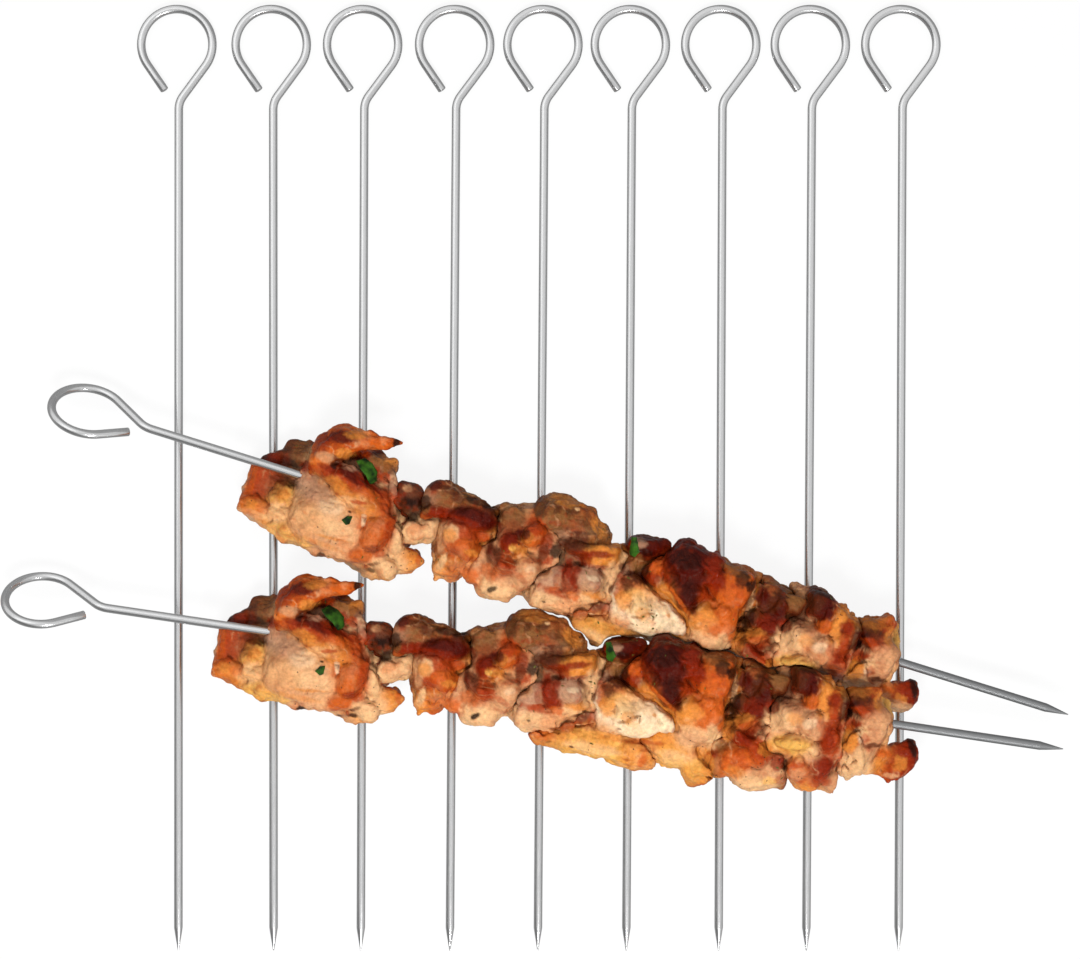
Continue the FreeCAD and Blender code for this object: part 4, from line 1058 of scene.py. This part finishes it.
# Grilled chicken: translucent, with a greasy glaze, browned in patches.
def chickenMaterial():
    made, tree, skin = blankMaterial("grilledChicken")
    tone = node(tree, "ShaderNodeAttribute", {"attribute_name": "tone"})
    wet = node(tree, "ShaderNodeAttribute", {"attribute_name": "wet"})
    place = node(tree, "ShaderNodeTexCoord")
    mottle = node(tree, "ShaderNodeTexNoise", Vector=place.outputs["Object"], Scale=850.0,
                  Detail=5.0, Roughness=0.65)
    speckle = node(tree, "ShaderNodeMapRange", Value=mottle.outputs["Fac"], From_Min=0.3,
                   From_Max=0.7, To_Min=0.74, To_Max=1.18)
    speckled = node(tree, "ShaderNodeVectorMath", {"operation": "SCALE"},
                    Vector=tone.outputs["Color"], Scale=speckle.outputs[0])
    rough = node(tree, "ShaderNodeMapRange", Value=wet.outputs["Fac"], To_Min=0.52, To_Max=0.34)
    sear = node(tree, "ShaderNodeAttribute", {"attribute_name": "sear"})
    strength = node(tree, "ShaderNodeMapRange", Value=sear.outputs["Fac"], To_Min=0.4,
                    To_Max=1.0)
    crisp = node(tree, "ShaderNodeTexNoise", Vector=place.outputs["Object"], Scale=1300.0,
                 Detail=3.0, Roughness=0.6)
    bump = node(tree, "ShaderNodeBump", Height=crisp.outputs["Fac"],
                Strength=strength.outputs[0], Distance=0.0003)
    fill(tree, skin, Base_Color=speckled.outputs[0], Roughness=rough.outputs[0],
         Specular_IOR_Level=0.07, Specular_Tint=(1.0, 0.74, 0.52, 1.0), Subsurface_Weight=0.12,
         Subsurface_Radius=(1.0, 0.35, 0.18), Subsurface_Scale=0.0022, Coat_Weight=0.12,
         Coat_Roughness=0.2, Normal=bump.outputs[0], Coat_Normal=bump.outputs[0])
    return made


def attach(mesh, name, kind, values):
    layer = mesh.attributes.new(name, kind, "POINT")
    field = "color" if kind == "FLOAT_COLOR" else "value"
    layer.data.foreach_set(field, np.ascontiguousarray(values, np.float32).ravel())


chicken = chickenMaterial()
tops = {side: [] for side in sides}
outline = []
for side in ("lower", "upper"):
    edge = outlineAbove(outline) if side == "upper" else None
    for number in sorted(lumps):
        points, quads = growPiece(number, side, edge)
        normals = normalsOf(points, quads)
        hollow = hollowness(points, quads, normals, 5)
        colour, wet, seared = toneOf(points, normals, number, hollow)
        points = roughened(points, normals, number)
        start, away = partingOf(side, number)
        laid = laidOut(points, side)
        facing = normalsOf(laid, quads)
        # the face leaning on the other stack, painted pale in fromBelow, partly as painted light
        # against the other stack's shadow
        pressedPaleAndPaintedLight = (step(-4.0, -2.5, (laid / mm - start) @ away) * step(0.4, 0.8, facing @ away)
                   * (side == "upper"))
        tint = fromBelow(colour, points, facing, pressedPaleAndPaintedLight)
        made = meshObject("%sChicken%d" % (side, number), laid, quads)
        attach(made.data, "tone", "FLOAT_COLOR", np.column_stack([tint, np.ones(len(tint))]))
        attach(made.data, "wet", "FLOAT", wet)
        attach(made.data, "sear", "FLOAT", seared)
        made.data.materials.append(chicken)
        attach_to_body(made, side + ("_end_piece" if number == 10 else "_stack"))
        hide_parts("%s_chicken_%d" % (side, number))
        if number < 10:
            tops[side].append((laid, facing, quads))
        outline.append(laid)
        print("piece", side, number, len(quads) * 2)
print("chicken grown")

# Bits of green pepper, cut from the fruit's wall, each lying on the chicken under it

chip = {"thick": 1.5, "rounding": 0.6, "dome": 0.035, "lift": 0.6, "steepest": 0.6,
        "voxel": 0.16, "reach": 3.2, "layer": 5.0, "around": 1.2, "room": 2.2}
chips = [[(76.8, 10.8), (79, 12.6), (82, 12), (84.6, 9), (85.2, 6), (83.6, 4.2), (81.6, 6.6),
          (78.6, 8.6)],
         [(78.2, -10), (79.5, -8), (81.3, -7.8), (81.3, -10.5), (80, -11.3)],
         [(174.8, 14), (176.5, 14.3), (178.9, 9.8), (178, 7.5), (176, 8), (175.3, 10.5)]]


# Signed distance from a closed outline, negative inside
def outlineDistance(x, y, corners):
    inside, best = np.zeros(x.shape, bool), np.full(x.shape, 1e9)
    for (xa, ya), (xb, yb) in zip(corners, corners[1:] + corners[:1]):
        ex, ey = xb - xa, yb - ya
        t = np.clip(((x - xa) * ex + (y - ya) * ey) / (ex * ex + ey * ey), 0, 1)
        best = np.minimum(best, np.hypot(x - xa - t * ex, y - ya - t * ey))
        crossing = (ya > y) != (yb > y)
        inside ^= crossing & (x < ex * (y - ya) / (ey or 1e-9) + xa)
    return np.where(inside, -best, best)


def growChip(corners, surface, number):
    u0, v0 = np.mean(corners, 0)
    close = surface[np.hypot(surface[:, 0] - u0, surface[:, 1] - v0) < chip["reach"]]
    close = close[close[:, 2] > close[:, 2].max() - chip["layer"]]
    flat = np.column_stack([close[:, 0] - u0, close[:, 1] - v0, np.ones(len(close))])
    slope = np.linalg.lstsq(flat, close[:, 2], rcond=None)[0]
    slope[:2] = np.clip(slope[:2], -chip["steepest"], chip["steepest"])
    h = chip["voxel"]
    low = [*(np.min(corners, 0) - chip["around"]), -chip["room"]]
    high = [*(np.max(corners, 0) + chip["around"]), chip["room"]]
    xs, ys, zs = [np.arange(a, b, h) for a, b in zip(low, high)]
    x, y, z = np.meshgrid(xs, ys, zs, indexing="ij")
    crown = (-chip["dome"] * ((x - u0) ** 2 + (y - v0) ** 2)
             + 0.3 * gridNoise(xs, ys, zs, 2.6, 201 + number))
    rim = outlineDistance(x, y, corners) + 0.18 * gridNoise(xs, ys, zs, 0.9, 211 + number)
    field = smoothMax(rim, np.abs(z - crown) - chip["thick"] / 2, chip["rounding"])
    grid = openvdb.FloatGrid()
    grid.copyFromArray(field.astype(np.float32))
    points, quads = grid.convertToQuads(0.0)
    points = points.astype(float) * h + [xs[0], ys[0], zs[0]]
    quads = quads.astype(np.int64)
    crown = -chip["dome"] * ((points[:, 0] - u0) ** 2 + (points[:, 1] - v0) ** 2)
    skinned = step(0.1, 0.55, points[:, 2] - crown)
    points[:, 2] += (slope[0] * (points[:, 0] - u0) + slope[1] * (points[:, 1] - v0) + slope[2]
                     + chip["lift"])
    return points, outwards(points, quads), skinned


# The fruit's waxy outer skin is deep green, its cut wall paler
def pepperMaterial():
    made, tree, skin = blankMaterial("greenPepperSkin")
    outer = node(tree, "ShaderNodeAttribute", {"attribute_name": "outer"})
    place = node(tree, "ShaderNodeTexCoord")
    cloud = node(tree, "ShaderNodeTexNoise", Vector=place.outputs["Object"], Scale=300.0,
                 Detail=3.0)
    mottled = node(tree, "ShaderNodeMapRange", Value=cloud.outputs["Fac"], From_Min=0.38,
                   From_Max=0.62)
    deep = node(tree, "ShaderNodeMix", {"data_type": "RGBA"}, _0=mottled.outputs[0],
                _6=(*linear("#0E200A"), 1), _7=(*linear("#36601A"), 1))
    both = node(tree, "ShaderNodeMix", {"data_type": "RGBA"}, _0=outer.outputs["Fac"],
                _6=(*linear("#3C5222"), 1), _7=deep.outputs[2])
    wrinkle = node(tree, "ShaderNodeBump", Height=cloud.outputs["Fac"], Strength=0.4,
                   Distance=0.0004)
    fill(tree, skin, Base_Color=both.outputs[2], Roughness=0.32, Specular_IOR_Level=0.12,
         Subsurface_Weight=0.1, Subsurface_Radius=(0.4, 1.0, 0.2), Subsurface_Scale=0.001,
         Normal=wrinkle.outputs[0])
    return made


pepper = pepperMaterial()
for side in sides:
    kebab = kebabs[side]
    turned = np.array([kebab["aim"], kebab["across"], kebab["up"]])
    upward = np.concatenate([laid[facing[:, 2] > 0.1] for laid, facing, _ in tops[side]])
    surface = (upward - kebab["start"]) @ turned.T / mm
    points, quads, outer = [], [], []
    for number, corners in enumerate(chips):
        own, ownQuads, skinned = growChip(corners, surface, number)
        quads.append(ownQuads + sum(len(part) for part in points))
        points.append(own)
        outer.append(skinned)
    place = np.concatenate(points) @ turned * mm + kebab["start"]
    made = meshObject(side + "Pepper", place, np.concatenate(quads))
    attach(made.data, "outer", "FLOAT", np.concatenate(outer))
    made.data.materials.append(pepper)
    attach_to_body(made, side + "_stack")
    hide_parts(side + "_pepper_bits")
print("pepper laid on")


# Seasoning: one tree strews flattened flakes over the upper faces
def strewTree():
    tree = bpy.data.node_groups.new("strewnFlakes", "GeometryNodeTree")
    face = tree.interface
    face.new_socket("Surface", in_out="INPUT", socket_type="NodeSocketGeometry")
    for name, kind in (("Per Square Metre", "NodeSocketFloat"), ("Seed", "NodeSocketInt"),
                       ("Smallest", "NodeSocketVector"), ("Largest", "NodeSocketVector"),
                       ("Material", "NodeSocketMaterial")):
        face.new_socket(name, in_out="INPUT", socket_type=kind)
    face.new_socket("Flakes", in_out="OUTPUT", socket_type="NodeSocketGeometry")
    enter = node(tree, "NodeGroupInput")
    leave = node(tree, "NodeGroupOutput")
    share = node(tree, "GeometryNodeInputNamedAttribute", {"data_type": "FLOAT"}, Name="season")
    thick = node(tree, "ShaderNodeMath", {"operation": "MULTIPLY"},
                 _0=enter.outputs["Per Square Metre"], _1=share.outputs["Attribute"])
    spots = node(tree, "GeometryNodeDistributePointsOnFaces", Mesh=enter.outputs["Surface"],
                 Density=thick.outputs[0], Seed=enter.outputs["Seed"])
    flake = node(tree, "GeometryNodeMeshIcoSphere", Radius=1.0, Subdivisions=2)
    size = node(tree, "FunctionNodeRandomValue", {"data_type": "FLOAT_VECTOR"},
                Min=enter.outputs["Smallest"], Max=enter.outputs["Largest"],
                Seed=enter.outputs["Seed"])
    laid = node(tree, "GeometryNodeInstanceOnPoints", Points=spots.outputs["Points"],
                Instance=flake.outputs["Mesh"], Rotation=spots.outputs["Rotation"],
                Scale=size.outputs["Value"])
    spin = node(tree, "FunctionNodeRandomValue", {"data_type": "FLOAT_VECTOR"},
                Min=(-0.3, -0.3, 0.0), Max=(0.3, 0.3, 6.28), Seed=enter.outputs["Seed"])
    turned = node(tree, "GeometryNodeRotateInstances", Instances=laid.outputs["Instances"],
                  Rotation=spin.outputs["Value"])
    whole = node(tree, "GeometryNodeRealizeInstances", Geometry=turned.outputs["Instances"])
    painted = node(tree, "GeometryNodeSetMaterial", Geometry=whole.outputs["Geometry"],
                   Material=enter.outputs["Material"])
    tree.links.new(painted.outputs["Geometry"], leave.inputs["Flakes"])
    return tree


# Dry flakes: matt, with darker spots.
def flakeMaterial(name, code, rough):
    made, tree, skin = blankMaterial(name)
    place = node(tree, "ShaderNodeTexCoord")
    cloud = node(tree, "ShaderNodeTexNoise", Vector=place.outputs["Object"], Scale=900.0)
    tint = node(tree, "ShaderNodeMix", {"data_type": "RGBA"}, _0=cloud.outputs["Fac"],
                _6=(*[c * 0.4 for c in linear(code)], 1), _7=(*linear(code), 1))
    fill(tree, skin, Base_Color=tint.outputs[2], Roughness=rough, Specular_IOR_Level=0.25)
    return made


# sizes are half lengths in millimetres; counts are per square metre of upper surface
seasoning = {"Spice": {"Per Square Metre": 26000.0, "Seed": 5, "Smallest": (0.16, 0.12, 0.1),
                        "Largest": (0.34, 0.26, 0.18)},
             "Herbs": {"Per Square Metre": 7000.0, "Seed": 11, "Smallest": (0.35, 0.16, 0.07),
                       "Largest": (0.9, 0.36, 0.12)}}
# a thicker pinch of both, at a place in the kebab's frame
pinch = {"place": (187, -10.6, 13), "reach": 5.0, "core": 1.5, "thick": 6}
flakes = {"Spice": flakeMaterial("crackedPepper", "#3A2416", 0.6),
          "Herbs": flakeMaterial("driedHerb", "#5E5A1E", 0.55)}
strewn = strewTree()
for side in sides:
    kebab = kebabs[side]
    points, quads, start = [], [], 0
    for laid, facing, faces in tops[side]:
        quads.append(faces[(facing[faces, 2] > 0.25).all(1)] + start)
        points.append(laid)
        start += len(laid)
    points, quads = np.concatenate(points), np.concatenate(quads)
    patch = step(-0.1, 0.7, noise(points / mm, 9.0, 306))
    u, v, w = pinch["place"]
    centre = kebab["start"] + (kebab["aim"] * u + kebab["across"] * v + kebab["up"] * w) * mm
    away = np.linalg.norm(points - centre, axis=1) / mm
    patch += pinch["thick"] * step(pinch["reach"], pinch["core"], away)
    for kind in flakes:
        ground = meshObject(side + kind + "Ground", points, quads)
        attach(ground.data, "season", "FLOAT", patch)
        modifier = ground.modifiers.new("strew", "NODES")
        modifier.node_group = strewn
        for key, value in seasoning[kind].items():
            if isinstance(value, tuple):
                value = tuple(part * mm for part in value)
            setInput(modifier, strewn, key, value)
        setInput(modifier, strewn, "Material", flakes[kind])
        made = plainMesh(ground, side + kind)
        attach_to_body(made, side + "_stack")
        print(side + kind, len(made.data.polygons))
print("seasoning strewn")

# Stage: a white table that keeps a soft shadow, a bright sky and a large soft lamp

view = {"centreX": 1.6, "centreY": -0.5, "distance": 950.0, "seen": 383.4, "sensor": 36.0}
light = {"skyTop": 0.528, "skyHorizon": 0.13, "overhead": 2.0, "sheet": 0.96,
         "sheetFront": 0.7488}
table = {"half": 3.0, "drop": 0.00005}
# each lamp's place and side in metres, and its power in watts
lamps = {"key": ((-0.06, -0.27, 0.77), 0.16, 4.4), "glint": ((0.12, -0.5, 0.6), 0.07, 1.5),
         "fill": ((-0.5, 0.25, 0.7), 0.6, 0.6)}

scene = bpy.context.scene
camera = bpy.data.objects.new("camera", bpy.data.cameras.new("camera"))
camera.location = (view["centreX"] * mm, view["centreY"] * mm, view["distance"] * mm)
camera.data.sensor_width = view["sensor"]
camera.data.lens = view["sensor"] * view["distance"] / view["seen"]
camera.data.clip_end = 10
scene.collection.objects.link(camera)
scene.camera = camera

floorMesh = bpy.data.meshes.new("table")
floorMesh.from_pydata([(x * table["half"], y * table["half"], 0)
                       for x, y in ((-1, -1), (1, -1), (1, 1), (-1, 1))], [], [(0, 1, 2, 3)])
floor = bpy.data.objects.new("table", floorMesh)
floor.location.z = -table["drop"]
scene.collection.objects.link(floor)
white, tree, _ = blankMaterial("whiteTable")
tree.nodes.clear()
rays = node(tree, "ShaderNodeLightPath")
matte = node(tree, "ShaderNodeBsdfDiffuse", Color=(0.8, 0.8, 0.8, 1))
glow = node(tree, "ShaderNodeEmission", Color=(1, 1, 1, 1), Strength=1.0)
seen = node(tree, "ShaderNodeMixShader", _0=0.88, _1=matte.outputs[0], _2=glow.outputs[0])
mirrored = node(tree, "ShaderNodeEmission", Color=(1, 1, 1, 1), Strength=0.36)
other = node(tree, "ShaderNodeMixShader", _0=rays.outputs["Is Glossy Ray"], _1=matte.outputs[0],
             _2=mirrored.outputs[0])
both = node(tree, "ShaderNodeMixShader", _0=rays.outputs["Is Camera Ray"], _1=other.outputs[0],
            _2=seen.outputs[0])
node(tree, "ShaderNodeOutputMaterial", Surface=both.outputs[0])
floor.data.materials.append(white)

world = bpy.data.worlds.new("sky")
scene.world = world
world.use_nodes = True
tree = world.node_tree
tree.nodes.clear()
direction = node(tree, "ShaderNodeTexCoord")
parts = node(tree, "ShaderNodeSeparateXYZ", Vector=direction.outputs["Generated"])
rise = node(tree, "ShaderNodeMapRange", Value=parts.outputs["Z"], From_Min=0.15, From_Max=0.9,
            To_Min=light["skyHorizon"], To_Max=light["skyTop"])
above = node(tree, "ShaderNodeMapRange", Value=parts.outputs["Z"], From_Min=0.85, From_Max=1.0,
             To_Max=light["overhead"])
full = node(tree, "ShaderNodeMath", {"operation": "ADD"}, _0=rise.outputs[0], _1=above.outputs[0])
back = node(tree, "ShaderNodeBackground", Color=(1, 1, 1, 1), Strength=full.outputs[0])
# shiny things mirror a bright sheet overhead that ends early towards the right and the front
slant = node(tree, "ShaderNodeMath", {"operation": "MULTIPLY_ADD"}, _0=parts.outputs["Y"],
             _1=-2.6, _2=0.15)
lean = node(tree, "ShaderNodeMath", {"operation": "MULTIPLY_ADD"}, _0=parts.outputs["X"],
            _1=slant.outputs[0], _2=parts.outputs["Z"])
border = node(tree, "ShaderNodeMapRange", {"interpolation_type": "SMOOTHSTEP"},
              Value=lean.outputs[0], From_Min=0.05, From_Max=0.6)
dim = node(tree, "ShaderNodeMapRange", Value=parts.outputs["Y"], From_Min=-0.15, From_Max=0.15,
           To_Min=0.2, To_Max=0.42)
bright = node(tree, "ShaderNodeMapRange", Value=parts.outputs["Y"], From_Min=-0.15,
              From_Max=0.1, To_Min=light["sheetFront"], To_Max=light["sheet"])
sheet = node(tree, "ShaderNodeMix", {"data_type": "FLOAT"}, _0=border.outputs[0],
             _2=dim.outputs[0], _3=bright.outputs[0])
mirror = node(tree, "ShaderNodeBackground", Color=(1, 1, 1, 1), Strength=sheet.outputs[0])
clean = node(tree, "ShaderNodeBackground", Color=(1, 1, 1, 1), Strength=1.0)
rays = node(tree, "ShaderNodeLightPath")
lit = node(tree, "ShaderNodeMixShader", _0=rays.outputs["Is Glossy Ray"], _1=back.outputs[0],
           _2=mirror.outputs[0])
pick = node(tree, "ShaderNodeMixShader", _0=rays.outputs["Is Camera Ray"], _1=lit.outputs[0],
            _2=clean.outputs[0])
node(tree, "ShaderNodeOutputWorld", Surface=pick.outputs[0])

for name, (place, size, power) in lamps.items():
    lamp = bpy.data.lights.new(name, "AREA")
    lamp.shape = "SQUARE"
    lamp.size = size
    lamp.energy = power
    made = bpy.data.objects.new(name, lamp)
    made.location = place
    made.rotation_euler = (-Vector(place)).to_track_quat("-Z", "Y").to_euler()
    made.visible_glossy = name != "key"
    scene.collection.objects.link(made)

scene.view_settings.view_transform = "Standard"

print("scene built")
